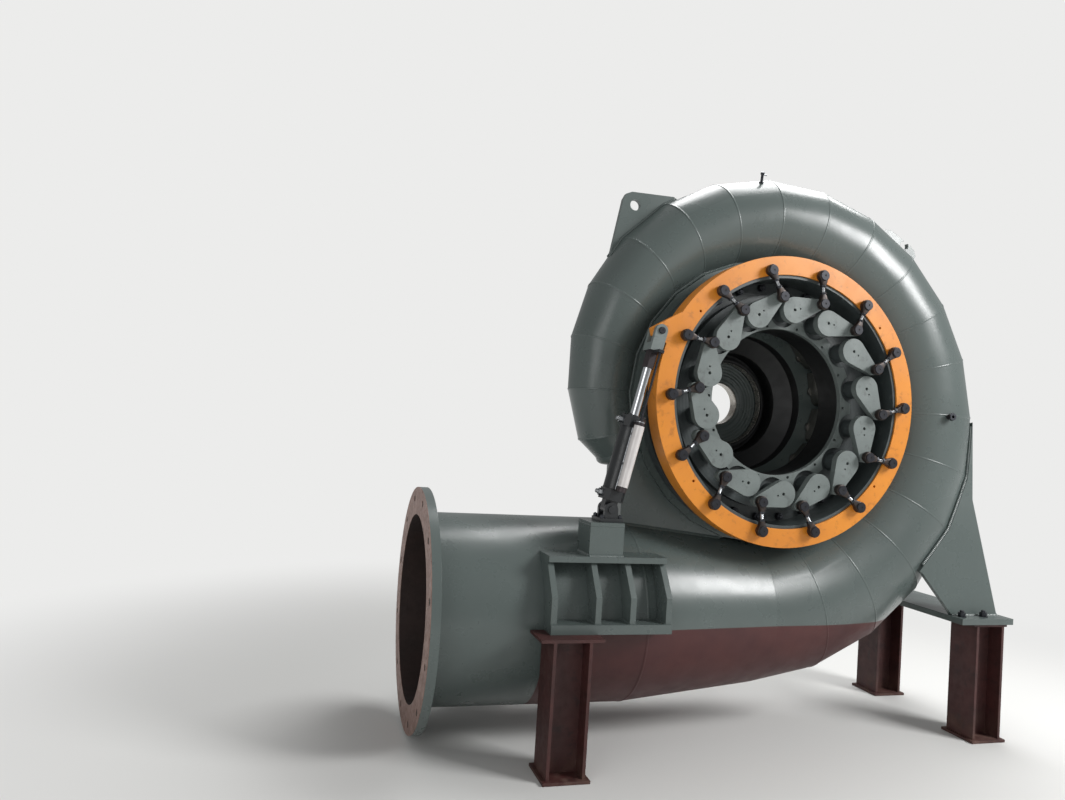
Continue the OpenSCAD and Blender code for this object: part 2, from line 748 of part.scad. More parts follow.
module posts_right() {
    color("#4a2620") at_shaft() for (s = [-1, 1])
    post(right_post_x, case_middle + s * right_post_step, foot_z, post_overhang);
}

module operating_ring() {
    first_pin = first_stem + ring_pin_lead;
    pitch = 360 / vane_count;
    color("#d98a2b") at_shaft() {
        difference() {
            union() {
                revolved([[ring_inner_r, 0], [ring_r, 0], [ring_r, ring_depth],
                    [ring_r - ring_rim, ring_depth], [ring_r - ring_rim, ring_plate],
                    [ring_inner_r + ring_rim, ring_plate], [ring_inner_r + ring_rim, ring_depth],
                    [ring_inner_r, ring_depth]]);
                turned(ear_angle) plate(0, ring_plate) polygon([[-ear_edge - 7, ring_r - 10],
                    [2 - ear_edge, ear_pin_r + 17], [0, ear_pin_r + 37], [ring_width + 36, ring_r - 7],
                    [ring_width + 36, ring_r - 30], [-ear_edge, ring_r - 30]]);
            }
            bar(-1, ring_plate + 1, servo_pin_r + ear_clearance, ear_x, ear_z, 48);
            for (q = [45 : 90 : 315]) turned(first_pin + (floor((q - first_pin) / pitch) + 0.5) * pitch)
            bar(-1, ring_plate * 0.6, ring_hole_r, z = ring_pin_circle_r, sides = 24);
        }
        for (i = [0 : vane_count - 1]) turned(first_stem + i * 360 / vane_count)
        link_pin(0, ring_pin_x, ring_pin_z);
    }
}

// a link's pin, with its boss behind the link and its head in front
module link_pin(y, x, z) {
    bar(-link_rise + run_gap, y, link_boss_r, x, z, 40);
    bar(link_front - run_gap, -link_rise + run_gap, link_pin_r, x, z, 40);
    bar(head_front, link_front - run_gap, link_boss_r, x, z, 40);
}

module servo_frame() {
    at_shaft() translate([servo_pivot_x, servo_y, servo_pivot_z]) rotate([0, servo_turn, 0]) children();
}

// one of the cylinder's square heads with its corners cut off
module servo_head(z) {
    half = head_width / 2;
    cut = half - 20;
    translate([0, 0, z]) linear_extrude(head_thick)
    polygon([[half, cut], [cut, half], [-cut, half], [-half, cut],
        [-half, -cut], [-cut, -half], [cut, -half], [half, -cut]]);
}

module servo_cylinder() {
    eye_r = 28;
    eye_half = 22;
    color("#26292b") servo_frame() difference() {
        union() {
            translate([-eye_r, -eye_half, 0]) cube([2 * eye_r, 2 * eye_half, eye_r + 12]);
            rotate([90, 0, 0]) translate([0, 0, -eye_half]) cylinder(h = 2 * eye_half, r = eye_r, $fn = 48);
            servo_head(eye_r + 8);
            translate([0, 0, eye_r + 50])
            cylinder(h = cylinder_length - eye_r - 90, r = cylinder_r, $fn = 64);
            servo_head(cylinder_length - head_thick);
        }
        rotate([90, 0, 0]) translate([0, 0, -eye_half - 1])
        cylinder(h = 2 * eye_half + 2, r = servo_pin_r + seat_gap, $fn = 48);
        translate([0, 0, eye_r + 70]) cylinder(h = cylinder_length, r = rod_r + seat_gap, $fn = 64);
    }
}

module servo_sensor() {
    low = cylinder_length - 303;
    high = cylinder_length - 39;
    arm = sensor_out - head_width / 2 - seat_gap;
    color("#b9bdbc") servo_frame() difference() {
        union() {
            translate([0, -sensor_out, low]) cylinder(h = high - low, r = sensor_r, $fn = 48);
            for (z = [low - 22, high]) translate([0, -sensor_out, z]) {
                cylinder(h = 22, r = sensor_r - 3, $fn = 40);
                translate([-14, 0, 0]) cube([28, arm, 20]);
            }
        }
        translate([0, -sensor_out, low + 30])
        cylinder(h = cylinder_length, r = sensor_rod_r + run_gap, $fn = 32);
    }
}

module servo_rod() {
    low = cylinder_length - 105;
    shank = servo_length - fork_reach;
    slot = ring_plate + 2 * fork_gap;
    color("#8e9291") servo_frame() {
        difference() {
            union() {
                translate([0, 0, low]) cylinder(h = shank - low, r = rod_r, $fn = 64);
                translate([0, 0, shank - 75]) cylinder(h = 76, r = fork_r - 1, $fn = 6);
                translate([-12, -sensor_out - 12, shank - 12]) cube([24, sensor_out + 12, 13]);
                translate([0, -sensor_out, low - 20])
                cylinder(h = shank - low + 18, r = sensor_rod_r, $fn = 32);
                translate([-fork_r, -fork_half, shank]) cube([2 * fork_r, 2 * fork_half, fork_reach]);
                rotate([90, 0, 0]) translate([0, servo_length, -fork_half])
                cylinder(h = 2 * fork_half, r = fork_r, $fn = 48);
            }
            translate([-fork_r - 9, -slot / 2, servo_length - 57]) cube([2 * fork_r + 18, slot, 120]);
        }
        rotate([90, 0, 0]) translate([0, servo_length, -fork_half - 5])
        cylinder(h = 2 * fork_half + 10, r = servo_pin_r, $fn = 48);
    }
}

// one guide vane with its stem, its rear journal and its arm
module gate(i) {
    color("#7a8380") at_shaft() turned(first_stem + (i - 1) * 360 / vane_count)
    translate([0, 0, stem_circle_r]) {
        bar(arm_face + arm_thick - 1, vane_front + 10, stem_r, sides = 48);
        bar(vane_rear - 10, vane_rear + 40, stem_r, sides = 48);
        rotate([0, 90 - vane_open, 0]) plate(vane_front, vane_rear - vane_front)
        vane_outline(vane_nose, vane_tail, vane_thick);
        rotate([0, arm_turn, 0]) {
            plate(arm_face, arm_thick) difference() {
                union() {
                    circle(r = arm_end_r, $fn = 72);
                    polygon(arm_sides());
                    translate([0, arm_length]) circle(r = arm_tip_r, $fn = 48);
                }
                circle(r = arm_hole_r, $fn = 32);
                translate([0, dowel_step]) circle(r = arm_hole_r * 0.6, $fn = 24);
            }
            link_pin(arm_face, 0, arm_length);
        }
    }
}

// the four corners where the arm's straight sides leave its round ends
function arm_sides() =
    let (tilt = asin((arm_end_r - arm_tip_r) / arm_length), c = cos(tilt), s = sin(tilt))
    [[arm_end_r * c, arm_end_r * s], [arm_tip_r * c, arm_length + arm_tip_r * s],
        [-arm_tip_r * c, arm_length + arm_tip_r * s], [-arm_end_r * c, arm_end_r * s]];

// the outline of a link's eye, with its neck up
module link_eye() {
    neck = stud_r + 3;
    circle(r = link_eye_r, $fn = 48);
    polygon([[-link_eye_r, 0], [link_eye_r, 0], [neck, link_neck], [-neck, link_neck]]);
}

// one adjustable link, from its ring pin to the arm's pin
module link(i) {
    color("#3a3432") at_shaft() turned(first_stem + (i - 1) * 360 / vane_count)
    translate([ring_pin_x, 0, ring_pin_z]) rotate([0, link_turn, 0]) difference() {
        union() {
            plate(link_front, link_thick) link_eye();
            plate(link_front, link_thick) translate([0, link_length]) rotate(180) link_eye();
            translate([0, link_front + link_thick / 2, link_neck - 4])
            cylinder(h = link_length - 2 * link_neck + 8, r = stud_r, $fn = 32);
        }
        bar(link_front - 1, link_front + link_thick + 1, link_pin_r + seat_gap, sides = 32);
        bar(link_front - 1, link_front + link_thick + 1, link_pin_r + open_clearance, z = link_length,
            sides = 48);
    }
}

inlet_flange();
inlet_pipe();
inlet_cone();
spiral_lower();
spiral_right();
spiral_upper_right();
spiral_upper_left();
spiral_tail();
stay_ring();
crotch_plates();
front_cover();
bore_ring();
ring_seat();
rear_cover();
seal_ring();
lifting_lugs();
taps();
right_leg();
servo_bracket();
rear_bracket();
servo_pedestal();
servo_pivot();
posts_left();
posts_right();
operating_ring();
servo_cylinder();
servo_sensor();
servo_rod();
gate(1);  // gate_01
gate(2);  // gate_02
gate(3);  // gate_03
gate(4);  // gate_04
gate(5);  // gate_05
gate(6);  // gate_06
gate(7);  // gate_07
gate(8);  // gate_08
gate(9);  // gate_09
gate(10);  // gate_10
gate(11);  // gate_11
gate(12);  // gate_12
gate(13);  // gate_13
gate(14);  // gate_14
link(1);  // link_01
link(2);  // link_02
link(3);  // link_03
link(4);  // link_04
link(5);  // link_05
link(6);  // link_06
link(7);  // link_07
link(8);  // link_08
link(9);  // link_09
link(10);  // link_10
link(11);  // link_11
link(12);  // link_12
link(13);  // link_13
link(14);  // link_14
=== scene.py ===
# Looks for a horizontal-shaft Francis turbine: the welded spiral case, its guide-vane gear,
# the servomotor and the posts. Lengths in the dictionaries are millimetres.
import json
import math
import bpy
import bmesh
import mathutils
import numpy as np
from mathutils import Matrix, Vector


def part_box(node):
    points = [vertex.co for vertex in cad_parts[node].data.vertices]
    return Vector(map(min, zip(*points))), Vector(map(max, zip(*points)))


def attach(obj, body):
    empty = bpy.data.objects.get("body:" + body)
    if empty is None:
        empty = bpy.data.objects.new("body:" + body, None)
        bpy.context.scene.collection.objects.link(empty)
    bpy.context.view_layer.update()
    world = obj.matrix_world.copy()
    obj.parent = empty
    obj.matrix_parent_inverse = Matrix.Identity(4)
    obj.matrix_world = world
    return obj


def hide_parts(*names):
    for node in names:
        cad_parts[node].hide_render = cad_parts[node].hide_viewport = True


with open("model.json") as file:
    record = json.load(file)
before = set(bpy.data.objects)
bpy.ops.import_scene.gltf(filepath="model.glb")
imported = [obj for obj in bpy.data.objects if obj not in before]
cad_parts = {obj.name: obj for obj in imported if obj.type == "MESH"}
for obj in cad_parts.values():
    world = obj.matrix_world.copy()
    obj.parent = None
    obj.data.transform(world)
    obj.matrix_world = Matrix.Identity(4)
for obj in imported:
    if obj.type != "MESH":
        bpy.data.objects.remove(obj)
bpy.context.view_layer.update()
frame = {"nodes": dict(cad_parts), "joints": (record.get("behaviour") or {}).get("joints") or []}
scene = bpy.context.scene
nodes = frame["nodes"]
joints = {joint["name"]: joint for joint in frame["joints"]}
print("stage: frame loaded")

# The shaft axis and the operating ring's front face come from the ring's own joint
ringDepth = 90  # the joint sits halfway through the ring
shaft = np.array(joints["ring_turn"]["pos_m"]) * 1000 - [0, ringDepth / 2, 0]


def atShaft(points):  # millimetres from the shaft at the ring's face, to metres in the frame
    return (np.asarray(points, float) + shaft) / 1000


def fromShaft(place):  # the other way round, for a place that the frame gives
    return np.asarray(place, float) * 1000 - shaft


def boxAt(node):  # a node's lowest and highest corners, in millimetres from the shaft
    return [fromShaft(corner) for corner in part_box(node)]


def unit(vector):
    return np.asarray(vector, float) / np.linalg.norm(vector)


def linear(hexColour):  # an sRGB hex colour as the linear values that the shader takes
    parts = [int(hexColour[i:i + 2], 16) / 255 for i in (1, 3, 5)]
    return [p / 12.92 if p <= 0.04045 else ((p + 0.055) / 1.055) ** 2.4 for p in parts] + [1]


# Camera, light and floor; the camera's place is in millimetres from the shaft
view = {"place": [-2109, -3159, -197], "yaw": 15.88, "pitch": 2.04, "roll": 3.72,
        "focalPixels": 800.5, "pixelsWide": 1065, "sensor": 36}


def makeCamera():  # looks along yaw and pitch, then leans by roll
    yaw, pitch, roll = (math.radians(view[k]) for k in ("yaw", "pitch", "roll"))
    ahead = np.array([math.sin(yaw) * math.cos(pitch), math.cos(yaw) * math.cos(pitch),
                      math.sin(pitch)])
    level = np.array([math.cos(yaw), -math.sin(yaw), 0])
    upright = np.cross(level, ahead)
    right = level * math.cos(roll) + upright * math.sin(roll)
    up = upright * math.cos(roll) - level * math.sin(roll)
    data = bpy.data.cameras.new("camera")
    data.sensor_width = view["sensor"]
    data.lens = view["focalPixels"] / view["pixelsWide"] * view["sensor"]
    data.clip_end = 200
    camera = bpy.data.objects.new("camera", data)
    scene.collection.objects.link(camera)
    place = atShaft(view["place"])
    rows = [[right[i], up[i], -ahead[i], place[i]] for i in range(3)]
    camera.matrix_world = mathutils.Matrix(rows + [[0, 0, 0, 1]])
    scene.camera = camera


def addNode(tree, kind, settings=None, links=None):  # one shader node, its values and its links
    node = tree.nodes.new("ShaderNode" + kind)
    for name, value in (settings or {}).items():
        if isinstance(name, int) or name in node.inputs:
            node.inputs[name].default_value = value
        else:
            setattr(node, name, value)
    for name, source in (links or {}).items():
        tree.links.new(source, node.inputs[name])
    return node


studio = {"floor": "#cfcfcd", "floorRough": 0.85, "floorHalf": 60, "floorDrop": 0.001,  # metres
          "background": "#ececeb", "ambient": 0.36, "fadeFrom": 1.9, "fadeTo": 4.6}
lamps = {"keyLamp": {"place": [4.2, -3.8, 4.4], "aim": [0.1, 0, 1.3], "size": 2.2, "power": 400},
         "sideLamp": {"place": [-4.6, -4.2, 2.6], "aim": [-0.4, 0, 1.0], "size": 3.0, "power": 60},
         "topLamp": {"place": [1.4, 1.4, 5.4], "aim": [0.2, 0, 1.4], "size": 3.0, "power": 230}}


def makeLamp(name, lamp):  # a square soft lamp at a place in metres, aimed at a point
    data = bpy.data.lights.new(name, "AREA")
    data.shape = "SQUARE"
    data.size = lamp["size"]
    data.energy = lamp["power"]
    thing = bpy.data.objects.new(name, data)
    scene.collection.objects.link(thing)
    away = unit(np.array(lamp["place"], float) - lamp["aim"])
    side = unit(np.cross([0, 0, 1], away))
    top = np.cross(away, side)
    rows = [[side[i], top[i], away[i], lamp["place"][i]] for i in range(3)]
    thing.matrix_world = mathutils.Matrix(rows + [[0, 0, 0, 1]])


def makeWorld():  # soft white light; only the camera sees the pale background
    world = bpy.data.worlds.new("studio")
    scene.world = world
    world.use_nodes = True
    tree = world.node_tree
    tree.nodes.clear()
    path = addNode(tree, "LightPath")
    lit = addNode(tree, "Background", {"Color": linear("#ffffff"), "Strength": studio["ambient"]})
    shown = addNode(tree, "Background", {"Color": linear(studio["background"]), "Strength": 1})
    blend = addNode(tree, "MixShader", None, {0: path.outputs["Is Camera Ray"], 1: lit.outputs[0],
                                               2: shown.outputs[0]})
    addNode(tree, "OutputWorld", None, {"Surface": blend.outputs[0]})


def makeFloor():  # keeps the shadow near the machine and fades into the background further out
    half, drop = studio["floorHalf"], studio["floorDrop"]
    points = [[-half, -half, -drop], [half, -half, -drop], [half, half, -drop], [-half, half, -drop]]
    mesh = bpy.data.meshes.new("floor")
    mesh.from_pydata(points, [], [(0, 1, 2, 3)])
    floor = bpy.data.objects.new("floor", mesh)
    scene.collection.objects.link(floor)
    material = bpy.data.materials.new("pale floor")
    material.use_nodes = True
    tree = material.node_tree
    shader = tree.nodes["Principled BSDF"]
    shader.inputs["Base Color"].default_value = linear(studio["floor"])
    shader.inputs["Roughness"].default_value = studio["floorRough"]
    reach = addNode(tree, "VectorMath", {"operation": "LENGTH"},
                    {0: addNode(tree, "TexCoord").outputs["Object"]})
    far = addNode(tree, "MapRange", {"From Min": studio["fadeFrom"], "From Max": studio["fadeTo"],
                                     "interpolation_type": "SMOOTHSTEP"},
                  {"Value": reach.outputs["Value"]})
    pale = addNode(tree, "Emission", {"Color": linear(studio["background"]), "Strength": 1})
    blend = addNode(tree, "MixShader", None, {0: far.outputs[0], 1: shader.outputs[0],
                                               2: pale.outputs[0]})
    tree.links.new(blend.outputs[0], tree.nodes["Material Output"].inputs["Surface"])
    mesh.materials.append(material)


makeCamera()
makeWorld()
makeFloor()
scene.view_settings.view_transform = "Standard"
for name, lamp in lamps.items():
    makeLamp(name, lamp)
print("stage: camera, lamps and floor")


# Mesh building: a shape is a grid of points worked out as whole arrays
def gridFaces(rows, columns, closedAcross):  # quads between neighbouring rows and columns
    across = columns if closedAcross else columns - 1
    r, c = np.meshgrid(np.arange(rows - 1), np.arange(across), indexing="ij")
    after = (c + 1) % columns
    quads = np.stack([r * columns + c, r * columns + after, (r + 1) * columns + after,
                      (r + 1) * columns + c], -1)
    return quads.reshape(-1, 4)


def grid(points, closedAcross=True):  # a grid of points as (vertices, quads)
    points = np.asarray(points, float)
    return points.reshape(-1, 3), gridFaces(points.shape[0], points.shape[1], closedAcross)


def turnedBody(outline, steps, phase=0.0):
    # an outline of [radius, height] turned round Z: point = (radius cos a, radius sin a, height)
    outline = np.asarray(outline, float)
    angle = np.arange(steps) / steps * 2 * math.pi + phase
    return grid(np.stack([outline[:, :1] * np.cos(angle), outline[:, :1] * np.sin(angle),
                          np.repeat(outline[:, 1:], steps, 1)], -1))


def capped(rows):  # closes the first and the last row on their own middles
    ends = [np.repeat(rows[i].mean(0)[None, None], rows.shape[1], 1) for i in (0, -1)]
    return grid(np.concatenate([ends[0], rows, ends[1]]))


def carried(profile, path, side, up):
    # a closed profile of [across, above] offsets: point = path + across side + above up
    profile, path = np.asarray(profile, float), np.asarray(path, float)
    side, up = np.broadcast_to(side, path.shape), np.broadcast_to(up, path.shape)
    return capped(path[:, None] + profile[None, :, :1] * side[:, None]
                  + profile[None, :, 1:] * up[:, None])


def copies(shape, places, axes):
    # one shape at many places: point = place + x first axis + y second axis + z third axis
    points, quads = shape
    placed = np.einsum("pk,nkj->npj", points, np.asarray(axes, float)) + np.asarray(places, float)[:, None]
    count, each = placed.shape[:2]
    faces = quads[None] + (np.arange(count) * each)[:, None, None]
    return placed.reshape(-1, 3), faces.reshape(-1, 4)


def joined(shapes):  # several (vertices, quads) as one
    points, faces, offset = [], [], 0
    for shape in shapes:
        points.append(shape[0])
        faces.append(shape[1] + offset)
        offset += len(shape[0])
    return np.concatenate(points), np.concatenate(faces)


def makePiece(name, parts, body, edgeAngle=35, loose=0.02):
    # parts are (shape, material) pairs in millimetres from the shaft; points nearer than loose merge,
    # normals turn outwards, and edges that bend more than edgeAngle degrees stay sharp
    points, faces = joined([shape for shape, material in parts])
    mesh = bpy.data.meshes.new(name)
    mesh.from_pydata(atShaft(points).tolist(), [], faces.tolist())
    for shape, material in parts:
        mesh.materials.append(material)
    which = np.repeat(np.arange(len(parts)), [len(shape[1]) for shape, material in parts])
    mesh.polygons.foreach_set("material_index", which.astype(np.int32))
    work = bmesh.new()
    work.from_mesh(mesh)
    bmesh.ops.remove_doubles(work, verts=work.verts, dist=loose / 1000)
    bmesh.ops.recalc_face_normals(work, faces=work.faces)
    for face in work.faces:
        face.smooth = True
    limit = math.radians(edgeAngle)
    for edge in work.edges:
        edge.smooth = len(edge.link_faces) == 2 and edge.calc_face_angle(0) < limit
    work.to_mesh(mesh)
    work.free()
    piece = bpy.data.objects.new(name, mesh)
    scene.collection.objects.link(piece)
    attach(piece, body)
    return piece


# The spiral's sizes serve the plates, the welds and the zones of paint
spiral = {"middle": 352, "radius": 345, "shrink": 0.62, "rim": 670, "half": 82, "wall": 12,
          "segment": 15, "tail": -112, "tailRadius": 105, "columns": 97, "beadColumns": 81,
          "beadWidth": 10, "beadHeight": 1.6, "beadSunk": 0.3}


def sectionAt(angle):
    # radius = radius at the inlet ((angle + 180) / 360) ^ shrink, held from the tail's angle on;
    # the circle passes through both edges of the rim, which gives its centre
    radius = spiral["radius"] * ((angle + 180) / 360) ** spiral["shrink"]
    if angle <= spiral["tail"]:
        radius = spiral["tailRadius"]
    return radius, spiral["rim"] + math.sqrt(radius ** 2 - spiral["half"] ** 2)


pipe = {"radius": 412, "drop": sectionAt(180)[1], "end": boxAt("inlet_pipe")[1][0],
        "flangeFace": boxAt("inlet_flange")[0][0], "flangeBack": boxAt("inlet_flange")[1][0]}
pipeAxis = np.array([0, spiral["middle"], -pipe["drop"]])
servo = {"pivot": fromShaft(joints["servo_swing"]["pos_m"]),
         "up": unit(joints["rod_slide"]["axis"]),
         "lowHead": 36, "highHead": 357, "top": 405, "tube": 46, "half": 47, "shank": 700, "nut": 75,
         "sensor": 22, "sensorOut": 88, "sensorLow": 102, "sensorHigh": 366, "sensorLine": (14, 18),
         "forkHalf": 43, "forkPin": 793, "pin": 15}
servo["axes"] = [[servo["up"][2], 0, -servo["up"][0]], [0, 1, 0], servo["up"]]
gear = {"vanes": 14, "stemCircle": 419, "firstStem": -25.1, "armFace": 7, "armThick": 34,
        "armLength": 132.2, "armTurn": 73.4, "armEnd": 60}


# Materials: a finish is a colour with a cloudy shade, an uneven gloss and how much of a metal it is
def newMaterial(name):  # an empty material with its shader and the object's own coordinates in metres
    material = bpy.data.materials.new(name)
    material.use_nodes = True
    tree = material.node_tree
    return material, tree, tree.nodes["Principled BSDF"], addNode(tree, "TexCoord").outputs["Object"]


# How each pattern uses its noise: (low, high) are the values that become nothing and all of it
pattern = {"cloud": (0.35, 0.7), "gloss": (0.3, 0.7), "glossShare": 4, "speck": (0.56, 0.68),
           "speckDetail": 7, "grainDetail": 2, "grainStrength": 0.3, "markStrength": 0.5,
           "bevelSamples": 4}


def mottle(tree, place, size, low, high, detail=4):
    # a cloudy factor: (noise - low) / (high - low), with clouds size millimetres wide
    cloud = addNode(tree, "TexNoise", {"Scale": 1000 / size, "Detail": detail, "Roughness": 0.6},
                    {"Vector": place})
    return addNode(tree, "MapRange", {"From Min": low, "From Max": high},
                   {"Value": cloud.outputs["Fac"]}).outputs[0]


def span(tree, value, low, high, soft=0.5):  # 1 where a length lies between two borders, in mm
    rise = addNode(tree, "MapRange", {"From Min": (low - soft) / 1000, "From Max": (low + soft) / 1000},
                   {"Value": value})
    fall = addNode(tree, "MapRange",
                   {"From Min": (high + soft) / 1000, "From Max": (high - soft) / 1000},
                   {"Value": value})
    return addNode(tree, "Math", {"operation": "MINIMUM"},
                   {0: rise.outputs[0], 1: fall.outputs[0]}).outputs[0]


def distance(tree, place, origin, keep):  # distance from an origin, counting only the axes that are kept
    offset = addNode(tree, "VectorMath", {"operation": "SUBTRACT", 1: list(atShaft(origin))},
                     {0: place})
    flat = addNode(tree, "VectorMath", {"operation": "MULTIPLY", 1: keep}, {0: offset.outputs[0]})
    return addNode(tree, "VectorMath", {"operation": "LENGTH"}, {0: flat.outputs[0]}).outputs["Value"]


def along(tree, place, origin, direction):  # how far a place lies from an origin along a direction
    offset = addNode(tree, "VectorMath", {"operation": "SUBTRACT", 1: list(atShaft(origin))},
                     {0: place})
    return addNode(tree, "VectorMath", {"operation": "DOT_PRODUCT", 1: list(direction)},
                   {0: offset.outputs[0]}).outputs["Value"]


def finishAt(tree, place, look):  # one finish's colour and roughness sockets, and its metal value
    cloud = mottle(tree, place, look["cloud"], *pattern["cloud"])
    colour = addNode(tree, "Mix", {"data_type": "RGBA", 6: linear(look["base"]),
                                   7: linear(look["shade"])}, {0: cloud}).outputs[2]
    if "speck" in look:  # small spots of dirt, rust or dust
        spots = mottle(tree, place, look["speckSize"], *pattern["speck"], pattern["speckDetail"])
        colour = addNode(tree, "Mix", {"data_type": "RGBA", 7: linear(look["speck"])},
                         {0: spots, 6: colour}).outputs[2]
    patch = mottle(tree, place, look["cloud"] / pattern["glossShare"], *pattern["gloss"])
    rough = addNode(tree, "MapRange", {"To Min": look["rough"][0], "To Max": look["rough"][1]},
                    {"Value": patch})
    return colour, rough.outputs[0], look.get("metal", 0)


def makeMaterial(name, look, zones=None, grain=4, relief=0.08, edge=1.5, marks=None, markDepth=0.2):
    # zones(tree, place) gives (factor, finish) pairs laid over the first; grain and relief are the
    # paint's own texture; marks gives a height to add; edge rounds the light on sharp edges, as
    # paint and a file do; all sizes in millimetres
    material, tree, shader, place = newMaterial(name)
    colour, rough, metal = finishAt(tree, place, look)
    for where, other in (zones(tree, place) if zones else []):
        otherColour, otherRough, otherMetal = finishAt(tree, place, other)
        colour = addNode(tree, "Mix", {"data_type": "RGBA"},
                         {0: where, 6: colour, 7: otherColour}).outputs[2]
        rough = addNode(tree, "Mix", None, {0: where, 2: rough, 3: otherRough}).outputs[0]
        if isinstance(metal, (int, float)) and metal == otherMetal:
            continue
        blend = addNode(tree, "Mix", {3: otherMetal}, {0: where})
        if isinstance(metal, (int, float)):
            blend.inputs[2].default_value = metal
        else:
            tree.links.new(metal, blend.inputs[2])
        metal = blend.outputs[0]
    tree.links.new(colour, shader.inputs["Base Color"])
    tree.links.new(rough, shader.inputs["Roughness"])
    if isinstance(metal, (int, float)):
        shader.inputs["Metallic"].default_value = metal
    else:
        tree.links.new(metal, shader.inputs["Metallic"])
    noise = addNode(tree, "TexNoise", {"Scale": 1000 / grain, "Detail": pattern["grainDetail"]},
                    {"Vector": place})
    bump = addNode(tree, "Bump", {"Strength": pattern["grainStrength"], "Distance": relief / 1000},
                   {"Height": noise.outputs["Fac"]})
    if edge:
        rounded = addNode(tree, "Bevel", {"samples": pattern["bevelSamples"], "Radius": edge / 1000})
        tree.links.new(rounded.outputs[0], bump.inputs["Normal"])
    if marks:
        bump = addNode(tree, "Bump",
                       {"Strength": pattern["markStrength"], "Distance": markDepth / 1000},
                       {"Height": marks(tree, place), "Normal": bump.outputs[0]})
    tree.links.new(bump.outputs[0], shader.inputs["Normal"])
    return material


finishes = {  # cloud and speckSize in millimetres, rough from the glossiest patch to the dullest
    # sprayed two-pack paint on rolled plate: satin, with soft broad highlights
    "case": {"base": "#545d5b", "shade": "#4c5553", "cloud": 520, "rough": (0.24, 0.34)},
    # brushed red oxide primer, left where the grey stops: dull and a little chalky
    "belly": {"base": "#4a211f", "shade": "#3c1a1b", "cloud": 300, "rough": (0.42, 0.56)},
    # old primer in the water's way: dark brown, with no highlight
    "inside": {"base": "#2d1d19", "shade": "#1f1512", "cloud": 160, "rough": (0.6, 0.8)},
    # brushed machine enamel: a warm orange with soft highlights and faint finger marks
    "ring": {"base": "#d38426", "shade": "#c4761f", "cloud": 260, "rough": (0.34, 0.46),
             "speck": "#b36d20", "speckSize": 30},
    # thin enamel over machined steel: pale and flat, with faint grey smudges
    "arm": {"base": "#6b7371", "shade": "#616967", "cloud": 110, "rough": (0.42, 0.55),
            "speck": "#585f5d", "speckSize": 30},
    # ground stainless steel: grey, softly mirrored
    "vane": {"base": "#8b8a86", "shade": "#74726e", "cloud": 60, "rough": (0.3, 0.45), "metal": 1},
    # forged steel, blackened: dark with a brown cast and a low sheen
    "forged": {"base": "#3d3633", "shade": "#292423", "cloud": 30, "rough": (0.36, 0.52),
               "metal": 0.6, "speck": "#57463c", "speckSize": 12},
    # turned and blued steel: near black with a cold sheen
    "pin": {"base": "#2d2e33", "shade": "#222328", "cloud": 22, "rough": (0.32, 0.48), "metal": 0.6},
    # painted shade: black for the bottom of a centre hole, where shade falls
    "hole": {"base": "#0d0d0e", "shade": "#080808", "cloud": 40, "rough": (0.6, 0.8)},
    # dark enamel on a turned casting: satin, with wide grey clouds
    "cover": {"base": "#434a4a", "shade": "#363c3d", "cloud": 180, "rough": (0.34, 0.5),
              "speck": "#4b5252", "speckSize": 60},
    # the runner's room seen from outside: near black, partly its black paint and partly painted shade, so
    # that it reads as depth
    "boreShade": {"base": "#121415", "shade": "#0c0d0e", "cloud": 220, "rough": (0.4, 0.55)},
    # turned steel under a film of oil: bright, with brown-grey clouds
    "turned": {"base": "#bab7b1", "shade": "#857d73", "cloud": 70, "rough": (0.22, 0.36),
               "metal": 0.8},
    # black oxide bolt steel: dark grey with a sharp small highlight
    "bolt": {"base": "#44464a", "shade": "#2f3136", "cloud": 15, "rough": (0.34, 0.5), "metal": 0.8},
    # zinc plating: cool, pale and bright
    "zinc": {"base": "#b4b7ba", "shade": "#8d9093", "cloud": 14, "rough": (0.22, 0.36), "metal": 1},
    # hard chrome, polished: nearly a mirror
    "chrome": {"base": "#cfd2d5", "shade": "#c0c3c7", "cloud": 60, "rough": (0.07, 0.13), "metal": 1},
    # sprayed satin black enamel: dark with a clear soft highlight
    "black": {"base": "#25282a", "shade": "#1a1c1e", "cloud": 90, "rough": (0.28, 0.42)},
    # anodised aluminium: an even pale grey with a silky gloss
    "sensor": {"base": "#d3cfcd", "shade": "#c4c0be", "cloud": 90, "rough": (0.32, 0.4),
               "metal": 0.25},
    # a dark plated clamp or nut: brown-black with a low sheen
    "collar": {"base": "#3a3436", "shade": "#2b2729", "cloud": 30, "rough": (0.35, 0.5),
               "metal": 0.5},
    # red oxide primer, brushed and knocked about: matt, with dark scuffs
    "primer": {"base": "#43211f", "shade": "#331a18", "cloud": 140, "rough": (0.5, 0.68),
               "speck": "#2f1817", "speckSize": 50},
    # workshop dust that has settled: pale brown and quite matt
    "dust": {"base": "#6a5148", "shade": "#54392f", "cloud": 60, "rough": (0.7, 0.85)},
    # a machined face that has begun to rust: pink-brown, half dull
    "bareSteel": {"base": "#93776d", "shade": "#6f544b", "cloud": 55, "rough": (0.45, 0.62),
                  "metal": 0.45, "speck": "#5a3326", "speckSize": 16},
}

# Where one finish gives way to the next: millimetres from the shaft, or from the face named
border = {"beltHeight": -1010, "beltFrom": -1108, "beltSoft": 1.5, "flangeFace": 2, "flangeBore": 1,
          "pins": 2, "armBack": 1, "runnerRoom": 341, "rearFace": 634, "sealFace": 636,
          "sealBore": 112, "sealLip": 213, "rod": 0.5, "forkFront": 40, "pinHead": 0.8,
          "dustTop": 130, "dustMost": 0.8, "dustCloud": 70, "dustSpread": (0.4, 0.65)}
beyond = 5000  # further out than any surface


